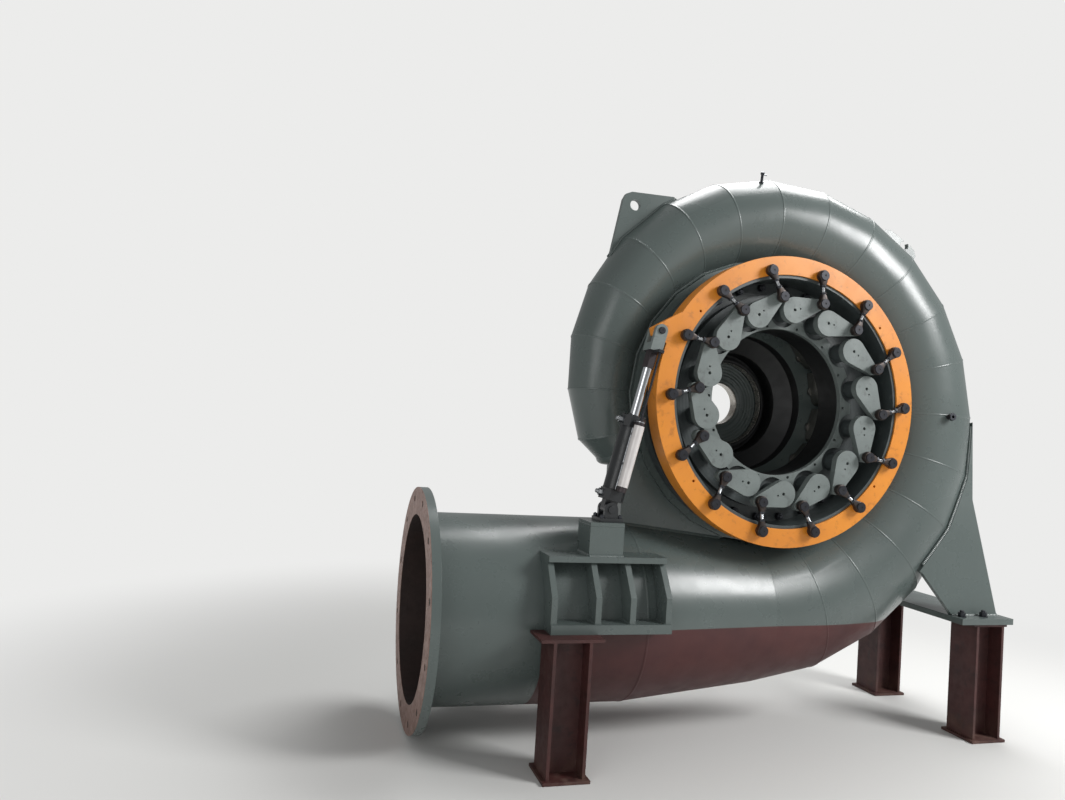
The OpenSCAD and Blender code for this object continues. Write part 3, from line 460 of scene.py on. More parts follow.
def caseZones(tree, place):  # the red belly starts below a straight masked line and right of the bracket
    axis = addNode(tree, "SeparateXYZ", None, {0: place})
    low = span(tree, axis.outputs["Z"], -beyond, shaft[2] + border["beltHeight"], border["beltSoft"])
    right = span(tree, axis.outputs["X"], shaft[0] + border["beltFrom"], beyond, border["beltSoft"])
    belly = addNode(tree, "Math", {"operation": "MULTIPLY"}, {0: low, 1: right}).outputs[0]
    return [(belly, finishes["belly"])]


def inletZones(tree, place):  # the same paint outside, and old primer inside the bore
    axis = addNode(tree, "SeparateXYZ", None, {0: place})
    narrowing = addNode(tree, "MapRange", {"From Min": (shaft[0] + pipe["end"]) / 1000,
                                           "From Max": shaft[0] / 1000,
                                           "To Max": (pipe["radius"] - spiral["radius"]) / 1000},
                        {"Value": axis.outputs["X"]})  # how much the cone has closed in by here
    reach = addNode(tree, "Math", {"operation": "ADD"},
                    {0: distance(tree, place, pipeAxis, (0, 1, 1)), 1: narrowing.outputs[0]})
    inside = span(tree, reach.outputs[0], -beyond, pipe["radius"] - spiral["wall"] / 2)
    return caseZones(tree, place) + [(inside, finishes["inside"])]


def flangeZones(tree, place):  # bare face, painted rim and back, primer inside the bore
    axis = addNode(tree, "SeparateXYZ", None, {0: place})
    painted = span(tree, axis.outputs["X"], shaft[0] + pipe["flangeFace"] + border["flangeFace"],
                   beyond)
    inside = span(tree, distance(tree, place, pipeAxis, (0, 1, 1)), -beyond,
                  pipe["radius"] - spiral["wall"] + border["flangeBore"])
    deep = addNode(tree, "Math", {"operation": "MULTIPLY"}, {0: painted, 1: inside}).outputs[0]
    return [(painted, finishes["case"]), (deep, finishes["inside"])]


def pinZones(tree, place):  # the pins that stand out in front of the ring or the arms
    axis = addNode(tree, "SeparateXYZ", None, {0: place})
    return [(span(tree, axis.outputs["Y"], -beyond, shaft[1] - border["pins"]), finishes["pin"])]


def gateZones(tree, place):  # painted arm, dark pin in front of it, bare stem and vane behind it
    axis = addNode(tree, "SeparateXYZ", None, {0: place})
    back = shaft[1] + gear["armFace"] + gear["armThick"] + border["armBack"]
    bare = span(tree, axis.outputs["Y"], back, beyond)
    return pinZones(tree, place) + [(bare, finishes["vane"])]


def coverZones(tree, place):  # the runner's opening is near black: painted shade over its black paint
    radius = distance(tree, place, [0, 0, 0], (1, 0, 1))
    return [(span(tree, radius, -beyond, border["runnerRoom"]), finishes["boreShade"])]


def rearZones(tree, place):  # near black painted shade towards the runner, machine paint on the outside
    axis = addNode(tree, "SeparateXYZ", None, {0: place})
    front = span(tree, axis.outputs["Y"], -beyond, shaft[1] + border["rearFace"])
    radius = distance(tree, place, [0, 0, 0], (1, 0, 1))
    room = span(tree, radius, -beyond, border["runnerRoom"])
    # near black painted shade where the rear cover faces the runner
    dark = addNode(tree, "Math", {"operation": "MULTIPLY"}, {0: front, 1: room}).outputs[0]
    return [(dark, finishes["boreShade"])]


def sealZones(tree, place):  # near black painted shade on the lip in front, turned steel deeper in, paint on the outside
    axis = addNode(tree, "SeparateXYZ", None, {0: place})
    radius = distance(tree, place, [0, 0, 0], (1, 0, 1))
    outside = span(tree, axis.outputs["Y"], shaft[1] + border["sealFace"], beyond)
    clear = span(tree, radius, border["sealBore"], beyond)
    painted = addNode(tree, "Math", {"operation": "MULTIPLY"}, {0: outside, 1: clear}).outputs[0]
    lip = span(tree, radius, border["sealLip"], beyond)
    return [(lip, finishes["boreShade"]), (painted, finishes["case"])]


def sensorZones(tree, place):  # dark clamps at both ends and a thin bright line on the upper one
    reach = along(tree, place, servo["pivot"], servo["up"])
    low = span(tree, reach, -beyond, servo["sensorLow"])
    high = span(tree, reach, servo["sensorHigh"], beyond)
    line = span(tree, reach, *[servo["sensorHigh"] + edge for edge in servo["sensorLine"]])
    return [(low, finishes["collar"]), (high, finishes["collar"]), (line, finishes["zinc"])]


def rodZones(tree, place):  # chrome rod, dark long nut, painted fork, the sensor's own brown rod
    reach = along(tree, place, servo["pivot"], servo["up"])
    gap, face = border["rod"], shaft[1] + servo["pivot"][1]
    fork = span(tree, reach, servo["shank"] + gap, beyond)
    nut = span(tree, reach, servo["shank"] - servo["nut"] - gap, servo["shank"] + gap)
    axis = addNode(tree, "SeparateXYZ", None, {0: place})
    front = span(tree, axis.outputs["Y"], -beyond, face - border["forkFront"])
    head = span(tree, axis.outputs["Y"], -beyond, face - servo["forkHalf"] - border["pinHead"])
    return [(front, finishes["forged"]), (nut, finishes["collar"]), (fork, finishes["arm"]),
            (head, finishes["pin"])]


def postZones(tree, place):  # dust and scuffs on the lowest part
    axis = addNode(tree, "SeparateXYZ", None, {0: place})
    low = addNode(tree, "MapRange", {"From Min": border["dustTop"] / 1000, "From Max": 0,
                                     "To Max": border["dustMost"]}, {"Value": axis.outputs["Z"]})
    patch = mottle(tree, place, border["dustCloud"], *border["dustSpread"])
    where = addNode(tree, "Math", {"operation": "MULTIPLY"}, {0: low.outputs[0], 1: patch}).outputs[0]
    return [(where, finishes["dust"])]


# Tool marks: real ones are finer, and these are this coarse so that they show
toolMarks = {"armPitch": 5.0, "armFrom": 10, "armEdge": 3, "turnedPitch": 16.0}


def armMarks(tree, place):
    # height = sin(2 pi r / pitch) with r from the nearest stem: the angle round the shaft is folded
    # to one vane's share, and R cos(angle) - stem circle and R sin(angle) are r's two parts
    axis = addNode(tree, "VectorMath", {"operation": "SUBTRACT", 1: list(atShaft([0, 0, 0]))},
                   {0: place})
    parts = addNode(tree, "SeparateXYZ", None, {0: axis.outputs[0]})
    angle = addNode(tree, "Math", {"operation": "ARCTAN2"},
                    {0: parts.outputs["X"], 1: parts.outputs["Z"]})
    turned = addNode(tree, "Math", {"operation": "SUBTRACT", 1: math.radians(gear["firstStem"])},
                     {0: angle.outputs[0]})
    share = math.pi / gear["vanes"]
    folded = addNode(tree, "Math", {"operation": "WRAP", 1: share, 2: -share}, {0: turned.outputs[0]})
    radius = distance(tree, place, [0, 0, 0], (1, 0, 1))
    out = addNode(tree, "Math", {"operation": "COSINE"}, {0: folded.outputs[0]})
    aside = addNode(tree, "Math", {"operation": "SINE"}, {0: folded.outputs[0]})
    outward = addNode(tree, "Math", {"operation": "MULTIPLY_ADD", 2: -gear["stemCircle"] / 1000},
                      {0: radius, 1: out.outputs[0]})
    sideways = addNode(tree, "Math", {"operation": "MULTIPLY"}, {0: radius, 1: aside.outputs[0]})
    both = addNode(tree, "CombineXYZ", None, {0: outward.outputs[0], 1: sideways.outputs[0]})
    reach = addNode(tree, "VectorMath", {"operation": "LENGTH"}, {0: both.outputs[0]}).outputs["Value"]
    turn = addNode(tree, "Math", {"operation": "MULTIPLY", 1: 2000 * math.pi / toolMarks["armPitch"]},
                   {0: reach})
    wave = addNode(tree, "Math", {"operation": "SINE"}, {0: turn.outputs[0]})
    inside = span(tree, reach, toolMarks["armFrom"], gear["armEnd"] - toolMarks["armEdge"])
    return addNode(tree, "Math", {"operation": "MULTIPLY"}, {0: wave.outputs[0], 1: inside}).outputs[0]


def turnedMarks(tree, place):  # the lathe's rings: height = sin(2 pi r / pitch), r from the shaft
    radius = distance(tree, place, [0, 0, 0], (1, 0, 1))
    turn = addNode(tree, "Math",
                   {"operation": "MULTIPLY", 1: 2000 * math.pi / toolMarks["turnedPitch"]},
                   {0: radius})
    return addNode(tree, "Math", {"operation": "SINE"}, {0: turn.outputs[0]}).outputs[0]


casePaint = makeMaterial("grey two-pack paint", finishes["case"], caseZones, grain=5)
inletPaint = makeMaterial("grey paint over primed pipe", finishes["case"], inletZones, grain=5)
ringPaint = makeMaterial("orange machine enamel", finishes["ring"], pinZones, grain=3, edge=2.5)
armPaint = makeMaterial("pale grey machine enamel", finishes["arm"], gateZones, grain=3,
                        marks=armMarks)
platePaint = makeMaterial("pale grey plate enamel", finishes["arm"], grain=3)
coverPaint = makeMaterial("dark grey machine enamel", finishes["cover"], coverZones,
                          marks=turnedMarks)
rearPaint = makeMaterial("grey casting enamel", finishes["case"], rearZones)
seatPaint = makeMaterial("grey enamel on turned collar", finishes["cover"])
blackPaint = makeMaterial("satin black enamel", finishes["black"], grain=3)
primerPaint = makeMaterial("red oxide primer", finishes["primer"], postZones, relief=0.12)
forgedSteel = makeMaterial("blackened forged steel", finishes["forged"], grain=3, relief=0.25, edge=0)
pinSteel = makeMaterial("blued pin steel", finishes["pin"], grain=2, relief=0.05, edge=0)
# black for the bottoms of the pins' centre holes: painted shade
holeShadeBlack = makeMaterial("painted shade in centre hole", finishes["hole"], edge=0)
boltSteel = makeMaterial("black bolt steel", finishes["bolt"], grain=2, edge=0)
zincSteel = makeMaterial("zinc plated steel", finishes["zinc"], grain=2, edge=0)
tapSteel = makeMaterial("oiled fitting steel", finishes["bolt"], grain=2)
sensorAlloy = makeMaterial("anodised aluminium tube", finishes["sensor"], sensorZones, grain=2,
                           relief=0.02)
rodChrome = makeMaterial("hard chromed rod", finishes["chrome"], rodZones, grain=2, relief=0.02)
sealSteel = makeMaterial("turned seal steel", finishes["turned"], sealZones, marks=turnedMarks,
                         markDepth=1.4)
flangeSteel = makeMaterial("bare flange steel", finishes["bareSteel"], flangeZones, grain=3, relief=0.2)
weldPaint = makeMaterial("grey paint over welds", finishes["case"], caseZones, grain=6, relief=0.3, edge=0)
print("stage: materials")

nodeLooks = {"inlet_flange": flangeSteel, "inlet_pipe": inletPaint, "inlet_cone": inletPaint,
             "front_cover": coverPaint, "bore_ring": platePaint, "ring_seat": seatPaint,
             "rear_cover": rearPaint, "seal_ring": sealSteel, "taps": tapSteel,
             "servo_pivot": blackPaint, "posts_left": primerPaint, "posts_right": primerPaint,
             "operating_ring": ringPaint, "servo_cylinder": blackPaint,
             "servo_sensor": sensorAlloy, "servo_rod": rodChrome}
for name, node in nodes.items():
    look = armPaint if name.startswith("gate") else forgedSteel if name.startswith("link") else casePaint
    for place in node.material_slots:
        place.material = nodeLooks.get(name, look)


# Spiral case: rolled plates with true round sections over the faceted solids
def sectionArc(angle, depth, columns):
    # the section's circle from mouth to mouth, depth inside its surface: out = centre - r cos(turn),
    # sideways = middle + r sin(turn), then turned round the shaft by the angle
    radius, centre = sectionAt(angle)
    mouth = math.asin(spiral["half"] / radius)
    turn = np.linspace(mouth, 2 * math.pi - mouth, columns)
    out = centre - (radius - depth) * np.cos(turn)
    a = math.radians(angle)
    return np.stack([out * math.sin(a), spiral["middle"] + (radius - depth) * np.sin(turn),
                     out * math.cos(a)], -1)


def caseSkin(first, last):  # outer and inner arcs of every joint, closed at both joints and both mouths
    angles = list(np.arange(first, last, -spiral["segment"])) + [last]
    outer = np.stack([sectionArc(a, 0, spiral["columns"]) for a in angles])
    inner = np.stack([sectionArc(a, spiral["wall"], spiral["columns"]) for a in angles])
    loop = np.concatenate([outer, inner[::-1], outer[:1]])
    mouths = [grid(np.stack([outer[:, c], inner[:, c]], 1), closedAcross=False) for c in (0, -1)]
    return joined([grid(loop, closedAcross=False)] + mouths)


def oval(width, height, sides=10):  # a low bead's section: (width / 2 cos turn, height sin turn)
    turn = np.arange(sides) / sides * 2 * math.pi
    return np.stack([np.cos(turn) * width / 2, np.sin(turn) * height], -1)


def seamBead(angle):  # a low weld bead round one joint, an ellipse carried along the section
    path = sectionArc(angle, spiral["beadSunk"], spiral["beadColumns"])
    radius, centre = sectionAt(angle)
    a = math.radians(angle)
    middle = np.array([centre * math.sin(a), spiral["middle"], centre * math.cos(a)])
    bead = oval(spiral["beadWidth"], spiral["beadHeight"])
    return carried(bead, path, [math.cos(a), 0, -math.sin(a)], (path - middle) / radius)


skins = {"spiral_lower": (180, 120), "spiral_right": (120, 60), "spiral_upper_right": (60, 0),
         "spiral_upper_left": (0, -60), "spiral_tail": (-60, spiral["tail"])}
for node, (first, last) in skins.items():
    plates = caseSkin(first, last)
    piece = makePiece(node + "_plates", [(plates, casePaint)], "casing", edgeAngle=8)
    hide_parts(node)
seamAngles = range(180 - spiral["segment"], int(spiral["tail"]), -spiral["segment"])
seams = [seamBead(angle) for angle in seamAngles]
makePiece("case_seam_welds", [(joined(seams), weldPaint)], "casing")


tailCap = {"proud": 0.4, "skirt": 13, "rise": 42, "rows": 14, "columns": 64}


def tailDome():
    # a short skirt over the flat plate, then a quarter ellipse: reach = skirt + rise sin(turn),
    # radius = radius cos(turn)
    radius, centre = spiral["tailRadius"] + tailCap["proud"], sectionAt(spiral["tail"])[1]
    turn = np.linspace(0, math.pi / 2, tailCap["rows"])
    reach = np.concatenate([[0], tailCap["skirt"] + tailCap["rise"] * np.sin(turn)])
    width = np.concatenate([[radius], radius * np.cos(turn)])
    a = math.radians(spiral["tail"])
    out, onward = np.array([math.sin(a), 0, math.cos(a)]), np.array([-math.cos(a), 0, math.sin(a)])
    roundTurn = np.arange(tailCap["columns"]) / tailCap["columns"] * 2 * math.pi
    across = np.cos(roundTurn)[:, None] * out + np.sin(roundTurn)[:, None] * np.array([0, 1, 0])
    middle = out * centre + [0, spiral["middle"], 0]
    rows = middle + reach[:, None, None] * onward + width[:, None, None] * across[None]
    return capped(rows)


makePiece("tail_cap", [(tailDome(), casePaint)], "casing")
print("stage: spiral case")


# Welds: a hand-laid bead rises and falls a little along its line; fillet, small and flange are sizes
weld = {"wave": 9.0, "rows": 3, "swell": 0.1, "sides": 6, "sunk": 0.2, "bulge": 1.3, "fillet": 8,
        "small": 5, "flange": 12}


def resampled(rows, step):  # rows of a point and its directions, spaced evenly along the line
    reach = np.concatenate([[0], np.cumsum(np.linalg.norm(np.diff(rows[:, :3], axis=0), axis=1))])
    at = np.linspace(0, reach[-1], max(3, int(reach[-1] / step) + 1))
    return np.stack([np.interp(at, reach, column) for column in rows.T], -1), at


def handLaid(profile, path, sideA, sideB, size=1):
    # a profile along a line, grown at t along it by size (1 + swell sin(2 pi t / wave))
    path = np.asarray(path, float)
    sides = [np.broadcast_to(side, path.shape) for side in (sideA, sideB)]
    rows, at = resampled(np.concatenate([path] + sides, 1), weld["wave"] / weld["rows"])
    grown = size * (1 + weld["swell"] * np.sin(at / weld["wave"] * 2 * math.pi))
    offset = profile[None, :, :1] * rows[:, None, 3:6] + profile[None, :, 1:] * rows[:, None, 6:9]
    return capped(rows[:, None, :3] + offset * grown[:, None, None])


def weldBead(path, sideA, sideB, size):
    # a fillet in a corner: legs of 1 along two faces and a front of (cos turn, sin turn) ^ bulge
    turn = np.linspace(0, math.pi / 2, weld["sides"])
    legs = [np.concatenate([[-weld["sunk"]], wave(turn) ** weld["bulge"]]) for wave in (np.cos, np.sin)]
    return handLaid(np.stack(legs, -1), path, sideA, sideB, size)


def ovalBead(path, sideA, sideB, width, height):  # a bead over a butt joint
    return handLaid(oval(width, height, 8), path, sideA, sideB)


def pipeRing(x, radius, count=180):  # points and outward directions of a circle round the pipe
    turn = np.linspace(0, 2 * math.pi, count + 1)
    out = np.stack([np.zeros_like(turn), np.cos(turn), np.sin(turn)], -1)
    return np.array([x, 0, 0]) + pipeAxis + radius * out, out


def boxLoop(low, high, z):  # the four sides of a box at a height, as (start, end, outward)
    x0, y0, x1, y1 = low[0], low[1], high[0], high[1]
    return [([x0, y0, z], [x1, y0, z], [0, -1, 0]), ([x1, y0, z], [x1, y1, z], [1, 0, 0]),
            ([x1, y1, z], [x0, y1, z], [0, 1, 0]), ([x0, y1, z], [x0, y0, z], [-1, 0, 0])]


pipeBeads = {"sunk": 0.3, "butt": (13, 2), "seam": (12, 1.8), "seamTurn": 28}  # widths, heights


def pipeWelds():  # flange fillet, butt joint to the cone and one lengthwise seam behind
    reach = pipe["radius"] - pipeBeads["sunk"]
    path, out = pipeRing(pipe["flangeBack"], pipe["radius"])
    beads = [weldBead(path, out, [1, 0, 0], weld["flange"])]
    path, out = pipeRing(pipe["end"], reach)
    beads.append(ovalBead(path, [1, 0, 0], out, *pipeBeads["butt"]))
    turn = math.radians(pipeBeads["seamTurn"])
    out = np.array([0, math.cos(turn), math.sin(turn)])
    line = [np.array([x, 0, 0]) + pipeAxis + reach * out for x in (pipe["flangeBack"], pipe["end"])]
    beads.append(ovalBead(line, np.cross([1, 0, 0], out), out, *pipeBeads["seam"]))
    return joined(beads)


rimBead = {"out": 6, "lift": 4, "width": 15, "height": 7}


def rimWelds():  # where the plates' two mouths meet the stay ring's rim
    angles = list(range(180, int(spiral["tail"]), -spiral["segment"])) + [spiral["tail"]]
    reach = spiral["rim"] + rimBead["out"]
    beads = []
    for facing in (-1, 1):
        path = []
        for angle in angles:
            radius, centre = sectionAt(angle)
            a = math.radians(angle)
            away = math.sqrt(radius ** 2 - (centre - reach) ** 2) + rimBead["lift"]
            path.append([reach * math.sin(a), spiral["middle"] + facing * away, reach * math.cos(a)])
        out = np.array(path) * [1, 0, 1] / reach
        beads.append(ovalBead(path, out, [0, facing, 0], rimBead["width"], rimBead["height"]))
    return joined(beads)


def caseOut(angle, away):
    # how far out the flat segment at an angle reaches, at a distance from the middle plane: where
    # the ray from the shaft crosses the line between the segment's two joints
    first = math.floor(angle / spiral["segment"]) * spiral["segment"]
    ends = []
    for a in (first, first + spiral["segment"]):
        radius, centre = sectionAt(a)
        reach = centre + math.sqrt(max(radius ** 2 - away ** 2, 0))
        ends.append(reach * np.array([math.sin(math.radians(a)), math.cos(math.radians(a))]))
    side = ends[1] - ends[0]
    ray = np.array([math.sin(math.radians(angle)), math.cos(math.radians(angle))])
    return (ends[0][0] * side[1] - ends[0][1] * side[0]) / (ray[0] * side[1] - ray[1] * side[0])


def onCase(angle, away, y, grow=0.3):  # a point just above the flat segment at an angle
    reach = caseOut(angle, away) + grow
    return [reach * math.sin(math.radians(angle)), y, reach * math.cos(math.radians(angle))]


def outward(path):  # each point's own direction away from the shaft
    flat = np.array(path) * [1, 0, 1]
    return flat / np.linalg.norm(flat, axis=1)[:, None]


lugs = {"thick": 25, "left": (-51, -26), "right": (37, 50), "bends": range(-45, 60, spiral["segment"])}


def lugWelds():  # a fillet along both faces of each lug, with a point at each joint of the case
    beads = []
    for first, last in (lugs["left"], lugs["right"]):
        angles = sorted(set([first, last] + [a for a in lugs["bends"] if first < a < last]))
        for facing in (-1, 1):
            face = spiral["middle"] + facing * lugs["thick"] / 2
            path = np.array([onCase(a, lugs["thick"] / 2, face) for a in angles])
            beads.append(weldBead(path, outward(path), [0, facing, 0], weld["fillet"]))
    return joined(beads)


leg = {"topDepth": 202, "topHeight": -15, "slope": 8.5, "plate": 20, "from": 92, "to": 132,
       "foot": boxAt("right_leg")[0][2], "footPlate": 28, "left": 955, "right": 1225,
       "points": 17, "tries": 10, "lift": 9, "bead": (17, 8)}


def legDepth(z):  # the sloping face's distance from the middle plane = top + drop tan(slope)
    return leg["topDepth"] + (leg["topHeight"] - z) * math.tan(math.radians(leg["slope"]))


def legWelds():  # along the case where each face meets it, and along the foot plate
    beads = []
    top = leg["foot"] + leg["footPlate"]
    for facing in (-1, 1):
        path = []
        for angle in np.linspace(leg["from"], leg["to"], leg["points"]):
            reach = spiral["rim"]
            for step in range(leg["tries"]):  # the face slopes, so the meeting point is closed in on
                depth = legDepth(reach * math.cos(math.radians(angle))) - leg["plate"]
                reach = caseOut(angle, min(depth, sectionAt(angle)[0] - 1))
            a, away = math.radians(angle), depth + leg["lift"]
            path.append([reach * math.sin(a), spiral["middle"] + facing * away, reach * math.cos(a)])
        beads.append(ovalBead(path, outward(path), [0, facing, 0], *leg["bead"]))
        face = spiral["middle"] + facing * legDepth(top)
        line = [[leg["left"], face, top], [leg["right"], face, top]]
        beads.append(weldBead(line, [0, 0, 1], [0, facing, 0], weld["fillet"]))
    return joined(beads)


bracket = {"low": boxAt("servo_bracket")[0], "high": boxAt("servo_bracket")[1], "base": 38,
           "plate": 25, "spread": 75, "pedestal": boxAt("servo_pedestal"), "ribFoot": 12,
           "ribBack": 20, "ribTop": (-48, 130), "capPlate": 14, "capBead": (6, 1.2)}


def bracketWelds():  # ribs on the base plate and under the top plate, and round the box pedestal
    low, high, half = bracket["low"], bracket["high"], bracket["plate"] / 2
    spread, pivot = bracket["spread"], servo["pivot"][0]
    foot = (low[1] + bracket["ribFoot"], bracket["ribBack"], low[2] + bracket["base"], 1)
    head = (*bracket["ribTop"], high[2] - bracket["plate"], -1)
    beads = []
    for x in [low[0] + half, pivot - spread, pivot + spread, high[0] - half]:
        for side in (-1, 1):
            at = x + side * half
            if low[0] + 1 < at < high[0] - 1:  # not on the plates' own ends
                for front, back, z, upright in (foot, head):
                    beads.append(weldBead([[at, front, z], [at, back, z]], [side, 0, 0],
                                          [0, 0, upright], weld["small"]))
    boxLow, boxHigh = bracket["pedestal"]
    for start, end, out in boxLoop(boxLow, boxHigh, high[2]):
        beads.append(weldBead([start, end], out, [0, 0, 1], weld["fillet"]))
    for start, end, out in boxLoop(boxLow, boxHigh, boxHigh[2] - bracket["capPlate"]):
        beads.append(ovalBead([start, end], [0, 0, 1], out, *bracket["capBead"]))
    return joined(beads)


crotch = {"from": -686, "to": -180, "points": 25, "lean": (0.94, -0.28), "size": 9}


def crotchWeld():
    # along the upper side of the inlet, where the front and rear plates stand on it; the cone's
    # radius closes in evenly, and height = sqrt(radius ^ 2 - away ^ 2)
    beads = []
    away, closing = spiral["half"] + leg["plate"], pipe["radius"] - spiral["radius"]
    for facing in (-1, 1):
        path = []
        for x in np.linspace(crotch["from"], crotch["to"], crotch["points"]):
            radius = pipe["radius"] - max(0, x - pipe["end"]) / -pipe["end"] * closing
            height = math.sqrt(radius ** 2 - away ** 2) - pipe["drop"]
            path.append([x, spiral["middle"] + facing * away, height])
        lean = [0, facing * crotch["lean"][0], crotch["lean"][1]]
        beads.append(weldBead(path, [0, 0, 1], lean, crotch["size"]))
    return joined(beads)


welds = {"inlet_welds": pipeWelds, "rim_welds": rimWelds, "lug_welds": lugWelds,
         "leg_welds": legWelds, "bracket_welds": bracketWelds, "crotch_welds": crotchWeld}
for name, laid in welds.items():
    makePiece(name, [(laid(), weldPaint)], "casing")
print("stage: welds")


# Bolts: a chamfered hexagon on a washer, with the end of its stud
nutShape = {"washer": 3, "flat": 0.97, "slope": 0.5, "studChamfer": 2,  # the rest are shares of
            "stud": 0.66, "studOut": 0.25, "washerAcross": 1.25}        # the size across flats


def hexNut(across, height, stud, studOut, washer):  # heights grow along +Z from the seat
    # twelve points a row: a hexagon's radius = across / 2 / cos(angle from its side's middle)
    step = np.arange(12) * math.pi / 6
    corner = across / 2 / np.cos((step + math.pi / 6) % (math.pi / 3) - math.pi / 6)
    flat = across / 2 * nutShape["flat"]
    base, chamfer = nutShape["washer"], nutShape["studChamfer"]
    top, drop = base + height, (corner - flat) * nutShape["slope"]
    rows = [(0, 0), (washer / 2, 0), (washer / 2, base), (corner, base), (corner, top - drop),
            (flat, top), (stud / 2, top), (stud / 2, top + studOut - chamfer),
            (stud / 2 - chamfer, top + studOut), (0, top + studOut)]
    return grid(np.stack([np.stack([radius * np.cos(step), radius * np.sin(step), level + 0 * step], -1)
                          for radius, level in rows]))


def roundShaft(radius, level, count, first, facing=-1):  # places and axes on a circle round the shaft
    angle = np.radians(first + np.arange(count) * 360 / count)
    places = np.stack([radius * np.sin(angle), np.full(count, float(level)), radius * np.cos(angle)], -1)
    out = np.stack([np.sin(angle), np.zeros(count), np.cos(angle)], -1)
    across = np.stack([np.cos(angle), np.zeros(count), -np.sin(angle)], -1) * -facing
    ahead = np.repeat([[0.0, facing, 0.0]], count, 0)
    return places, np.stack([out, across, ahead], 1)


boltFirst = gear["firstStem"] + 3.8
boltSeat = {"front": 170, "rear": 510, "sealIn": 49}  # the covers' faces, and the seal's inner step
boltRows = {  # nuts round the shaft: radius, seat, count, first angle, facing, across flats, height
    "cover_inner_nuts": (540, boltSeat["front"], 28, boltFirst, -1, 30, 19),
    "cover_rim_nuts": (608, boltSeat["front"], 28, boltFirst, -1, 36, 22),
    "rear_cover_nuts": (608, boltSeat["rear"], 28, boltFirst, 1, 36, 22),
    "seal_nuts": (280, boxAt("seal_ring")[1][1] - boltSeat["sealIn"], 16, 0, 1, 24, 15),
    "gland_nuts": (131, boxAt("seal_ring")[1][1], 8, 22.5, 1, 19, 12)}
for name, (radius, seat, count, first, facing, across, height) in boltRows.items():
    places, axes = roundShaft(radius, seat, count, first, facing)
    nut = hexNut(across, height, across * nutShape["stud"], across * nutShape["studOut"],
                 across * nutShape["washerAcross"])
    makePiece(name, [(copies(nut, places, axes), boltSteel)], "casing")

# Upright nuts: across flats, height, stud, stud out, washer, and their places
footBolts = {"nut": (30, 19, 20, 9, 42), "x": (1113, 985), "edge": 23}
pivotBolts = {"nut": (15, 9, 10, 3, 18), "spread": 40, "plate": 16}
footTop = leg["foot"] + leg["footPlate"]
pivotTop = boxAt("servo_pivot")[0][2] + pivotBolts["plate"]
footPlaces = [[x, y, footTop] for x in footBolts["x"]
              for y in (-footBolts["edge"], 2 * spiral["middle"] + footBolts["edge"])]
pivotPlaces = [[servo["pivot"][0] + x * pivotBolts["spread"],
                servo["pivot"][1] + y * pivotBolts["spread"], pivotTop]
               for x in (-1, 1) for y in (-1, 1)]
for name, size, places in (("foot_nuts", footBolts["nut"], footPlaces),
                           ("pivot_bolts", pivotBolts["nut"], pivotPlaces)):
    nuts = copies(hexNut(*size), places, [np.eye(3)] * 4)
    makePiece(name, [(nuts, boltSteel)], "casing")
print("stage: bolts")


# Guide-vane gear: forged eyes, threaded studs, locknuts and pin heads
link = {"eye": 27, "half": 14, "neck": 42, "neckHalf": 11, "neckSink": 2.5, "ballRows": 12,
        "neckRows": 10, "neckFrom": 4, "columns": 28, "square": 5, "crown": 10, "taper": 0.85,
        "stud": 8.4, "studIn": 2, "threadDepth": 0.9, "pitch": 4, "studColumns": 18,
        "rise": 6, "thick": 28, "locknut": 24, "locknutHigh": 7, "locknutOut": 2.2,
        "locknutWasher": 1.05, "pinFace": -37, "pinHead": 22, "pinOut": 2.5, "centreHole": 4.5}


def forgedEye():
    # half width = sqrt(eye ^ 2 - s ^ 2) round the ball, then down to the neck as (s / neck) ^ taper;
    # half height = half (1 - (s / eye) ^ crown) ^ (1 / crown), then sinking as (s / neck) ^ 2;
    # the section is a superellipse of power square
    ballTurn = np.linspace(0, math.pi / 2, link["ballRows"])
    s = np.concatenate([-link["eye"] * np.cos(ballTurn),
                        np.linspace(link["neckFrom"], link["neck"], link["neckRows"])])
    ball = np.sqrt(np.maximum(link["eye"] ** 2 - np.minimum(s, 0) ** 2, 0))
    closing = np.clip(s / link["neck"], 0, 1) ** link["taper"]
    width = np.where(s < 0, ball, link["eye"] + (link["neckHalf"] - link["eye"]) * closing)
    crown = np.clip(-s / link["eye"], 0, 1) ** link["crown"]
    height = link["half"] * (1 - crown) ** (1 / link["crown"])
    height = np.where(s > 0, link["half"] - link["neckSink"] * (s / link["neck"]) ** 2, height)
    turn = np.arange(link["columns"]) / link["columns"] * 2 * math.pi
    power = 2 / link["square"]
    x = np.sign(np.cos(turn)) * np.abs(np.cos(turn)) ** power
    y = np.sign(np.sin(turn)) * np.abs(np.sin(turn)) ** power
    return capped(np.stack([width[:, None] * x, height[:, None] * y,
                            np.repeat(s[:, None], link["columns"], 1)], -1))


def threadedStud(length):
    # a screw surface: radius = stud - depth |2 phase - 1|, phase = z / pitch - turn / 2 pi
    z = np.linspace(0, length, int(length) + 1)
    turn = np.arange(link["studColumns"]) / link["studColumns"] * 2 * math.pi
    phase = (z[:, None] / link["pitch"] - turn[None] / (2 * math.pi)) % 1
    radius = link["stud"] - link["threadDepth"] * np.abs(2 * phase - 1)
    return capped(np.stack([radius * np.cos(turn), radius * np.sin(turn),
                            np.repeat(z[:, None], link["studColumns"], 1)], -1))


cap = {"sunk": 0.4, "chamfer": 1.5}


def pinCap(radius, hole, out):  # a chamfered head with a centre hole, on a face along +Z
    low, edge = cap["sunk"], cap["chamfer"]
    return turnedBody([[0, low], [hole, low], [hole, out], [radius - edge, out],
                       [radius, out - edge], [radius, -low], [0, -low]], 32)


def placed(shape, place, axes):  # one copy
    return copies(shape, [place], [axes])


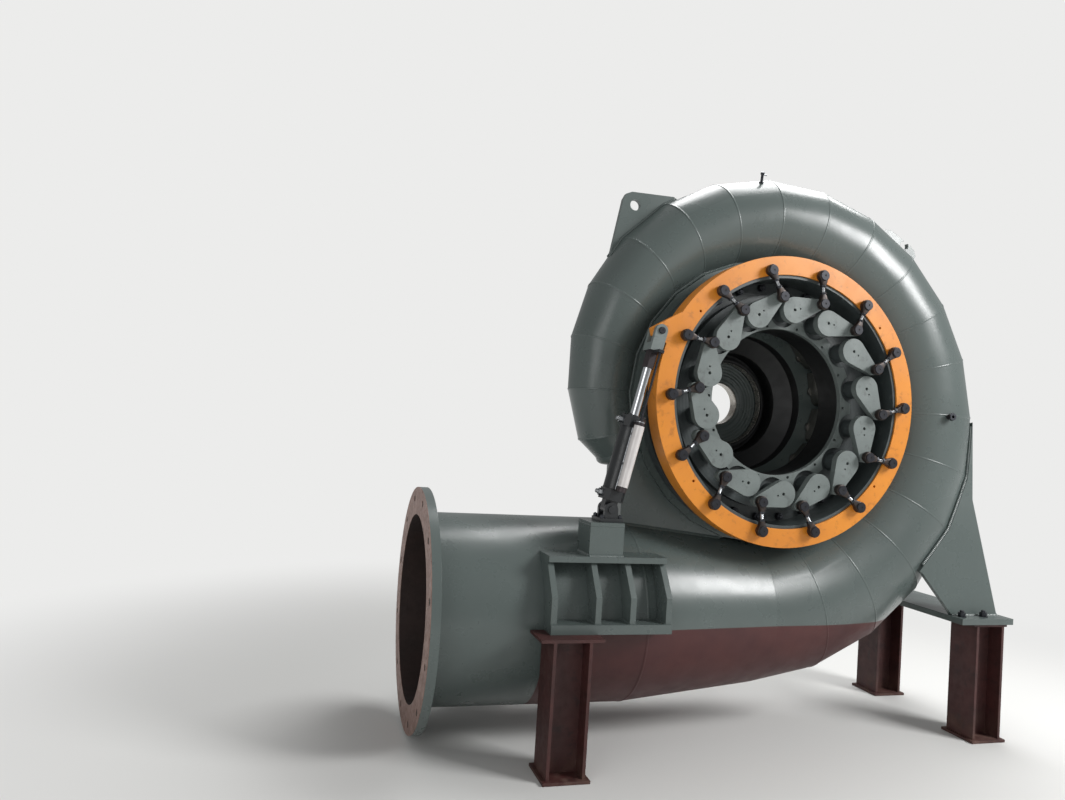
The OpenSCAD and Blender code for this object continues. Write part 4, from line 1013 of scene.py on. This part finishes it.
frontAxes = np.array([[1.0, 0, 0], [0, 0, 1.0], [0, -1.0, 0]])  # a shape's own Z looks to the front
headShape = pinCap(link["pinHead"], link["centreHole"], link["pinOut"])
# a thin black disc at the bottom of each centre hole: painted shade
shadeDiscRadius = link["centreHole"] - 0.1
shadeDiscShape = turnedBody([[0, 0.3], [shadeDiscRadius, 0.3], [shadeDiscRadius, 0.8], [0, 0.8]], 24)
ringPins = []
for number in range(1, gear["vanes"] + 1):
    stem = fromShaft(joints["gate_%02d_turn" % number]["pos_m"])
    eye = fromShaft(joints["link_%02d_swing" % number]["pos_m"])
    turn = math.atan2(stem[0], stem[2]) + math.radians(gear["armTurn"])
    armPin = stem + gear["armLength"] * np.array([math.sin(turn), 0, math.cos(turn)])
    armPin[1] = eye[1] = link["pinFace"]
    ringPins.append(eye.copy())
    # each head gets a black disc of painted shade in its centre hole
    makePiece("gate_%02d_pin_head" % number,
              [(placed(headShape, armPin, frontAxes), pinSteel),
               (placed(shadeDiscShape, armPin, frontAxes), holeShadeBlack)],
              "gate_%02d_body" % number)
    middle = -link["rise"] - link["thick"] / 2
    start, end = eye * [1, 0, 1] + [0, middle, 0], armPin * [1, 0, 1] + [0, middle, 0]
    length = np.linalg.norm(end - start)
    down = (end - start) / length
    side = np.cross([0, 1, 0], down)
    axes, back = np.array([side, [0, 1, 0], down]), np.array([-side, [0, 1, 0], -down])
    nut = hexNut(link["locknut"], link["locknutHigh"], 2 * link["stud"], link["locknutOut"],
                 link["locknut"] * link["locknutWasher"])
    stud = placed(threadedStud(length - 2 * link["neck"] + 2 * link["studIn"]),
                  start + (link["neck"] - link["studIn"]) * down, axes)
    eyes = joined([placed(forgedEye(), start, axes), placed(forgedEye(), end, back)])
    nuts = joined([placed(nut, start + link["neck"] * down, axes),
                   placed(nut, end - link["neck"] * down, back)])
    piece = makePiece("link_%02d_forging" % number,
                      [(eyes, forgedSteel), (stud, zincSteel), (nuts, boltSteel)],
                      "link_%02d_body" % number)
    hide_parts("link_%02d" % number)
ringHeads = copies(headShape, ringPins, [frontAxes] * gear["vanes"])
# black discs in the ring pins' centre holes: painted shade
ringShadeDiscs = copies(shadeDiscShape, ringPins, [frontAxes] * gear["vanes"])
makePiece("ring_pin_heads", [(ringHeads, pinSteel), (ringShadeDiscs, holeShadeBlack)], "ring")
print("stage: guide-vane gear")


# Servomotor: fittings on the cylinder, its sensor's clamps and the fork's pin
def inServo(points):  # from the servomotor's own axes, Z up its rod, to millimetres from the shaft
    return servo["pivot"] + np.asarray(points, float) @ np.array(servo["axes"])


def onServo(shape, place, axes=np.eye(3)):  # a shape placed and turned in the servomotor's axes
    points, quads = shape
    return inServo(points @ np.asarray(axes, float) + place), quads


def block(width, depth, height, cut=2):  # a box with its upright edges cut, from its base upwards
    x, y = width / 2, depth / 2
    outline = np.array([[x, y - cut], [x - cut, y], [cut - x, y], [-x, y - cut],
                        [-x, cut - y], [cut - x, -y], [x - cut, -y], [x, cut - y]])
    return capped(np.stack([np.insert(outline, 2, level, 1) for level in (0, height)]))


leftAxes = np.array([[0, 1.0, 0], [0, 0, 1.0], [-1.0, 0, 0]])  # a shape's own Z looks to the left
port = {"hex": 27, "hexOut": 14, "stub": 18, "stubOut": 12, "washer": 1.15, "heights": (60, 381)}
headScrew = {"outline": [[0, 5], [4, 5], [4, 9], [7, 9], [7.6, 8.4], [7.6, -0.5], [0, -0.5]],
             "spread": 33}
gland = [[21.4, -0.5], [21.4, 7], [28, 7], [30, 5], [30, -0.5], [21.4, -0.5]]
band = {"outline": [[-2, 0], [1.6, 0.6], [1.6, 5.4], [-2, 6]],  # from the tube's surface
        "heights": (servo["lowHead"] + 48, servo["highHead"] - 6)}


def servoFittings():  # the head's screws, the rod's gland and two bands; then the two oil ports
    union = hexNut(port["hex"], port["hexOut"], port["stub"], port["stubOut"],
                   port["hex"] * port["washer"])
    ports = joined([onServo(union, [-servo["half"], 0, z], leftAxes) for z in port["heights"]])
    screw, spread = turnedBody(headScrew["outline"], 24), headScrew["spread"]
    screws = joined([onServo(screw, [x, y, servo["top"]])
                     for x in (-spread, spread) for y in (-spread, spread)])
    collar = onServo(turnedBody(gland, 48), [0, 0, servo["top"]])
    ring = turnedBody(np.array(band["outline"]) + [servo["tube"], 0], 64)
    rings = joined([onServo(ring, [0, 0, z]) for z in band["heights"]])
    return joined([screws, collar, rings]), ports


clamp = {"heights": (188, 318), "wide": 22, "deep": 22, "tall": 20,
         "screw": [[0, 4], [3, 4], [3, 6.5], [5, 6.5], [5, -0.5], [0, -0.5]],
         "tie": [[0, 0], [3.5, 0], [3.5, 268], [0, 268]],
         "tiePlace": [-12, -servo["tube"] - 8, servo["lowHead"] + 50]}


def sensorFittings():  # two small clamps between the tube and the sensor, screws and a tie rod
    blocks, screws = [], []
    away = -(servo["tube"] + servo["sensorOut"] - servo["sensor"]) / 2
    for z in clamp["heights"]:
        blocks.append(onServo(block(clamp["wide"], clamp["deep"], clamp["tall"]), [0, away, z]))
        screws.append(onServo(turnedBody(clamp["screw"], 20),
                              [-clamp["wide"] / 2, away, z + clamp["tall"] / 2], leftAxes))
    screws.append(onServo(turnedBody(clamp["tie"], 20), clamp["tiePlace"]))
    return joined(blocks), joined(screws)


blackParts, ports = servoFittings()
blocks, screws = sensorFittings()
makePiece("servo_cylinder_fittings",
          [(blackParts, blackPaint), (blocks, blackPaint), (ports, zincSteel), (screws, zincSteel)],
          "cylinder")

forkCap = {"smaller": 0.5, "hole": 4, "out": 2, "boss": 5}  # against the pin and the fork's side
forkPin = servo["pivot"] + servo["up"] * servo["forkPin"]
forkHead = pinCap(servo["pin"] - forkCap["smaller"], forkCap["hole"], forkCap["out"])
places = [forkPin + [0, side * (servo["forkHalf"] + forkCap["boss"]), 0] for side in (-1, 1)]
rearAxes = frontAxes * [1, -1, 1] * [[-1], [1], [1]]
heads = joined([placed(forkHead, places[0], frontAxes), placed(forkHead, places[1], rearAxes)])
# the front head's black disc in its centre hole is painted shade
makePiece("fork_pin_heads",
          [(heads, pinSteel), (placed(shadeDiscShape, places[0], frontAxes), holeShadeBlack)],
          "rod")


# Air cock on the crown: its small lever, beside one column of the case's section
cockTop = boxAt("taps")[1][2]
cock = {"angle": -3.5, "column": 19, "columns": 33, "lever": 34, "back": 6, "below": 6, "droop": 3,
        "thick": 3.2}


def cockLever():  # a flat oval bar from the cock's axis, drooping a little
    low, high = [sectionArc(a, 0, cock["columns"])[cock["column"]] for a in (-spiral["segment"], 0)]
    share = (cock["angle"] + spiral["segment"]) / spiral["segment"]
    foot = low * (1 - share) + high * share
    centre = np.array([foot[0], foot[1], cockTop - cock["below"]])
    ends = [centre - [cock["back"], 0, 0], centre + [cock["lever"] - cock["back"], 0, -cock["droop"]]]
    return carried(oval(2 * cock["thick"], cock["thick"], 12), ends, [0, 1, 0], [0, 0, 1])


makePiece("air_cock_lever", [(cockLever(), zincSteel)], "casing")
print("stage: servomotor and taps")
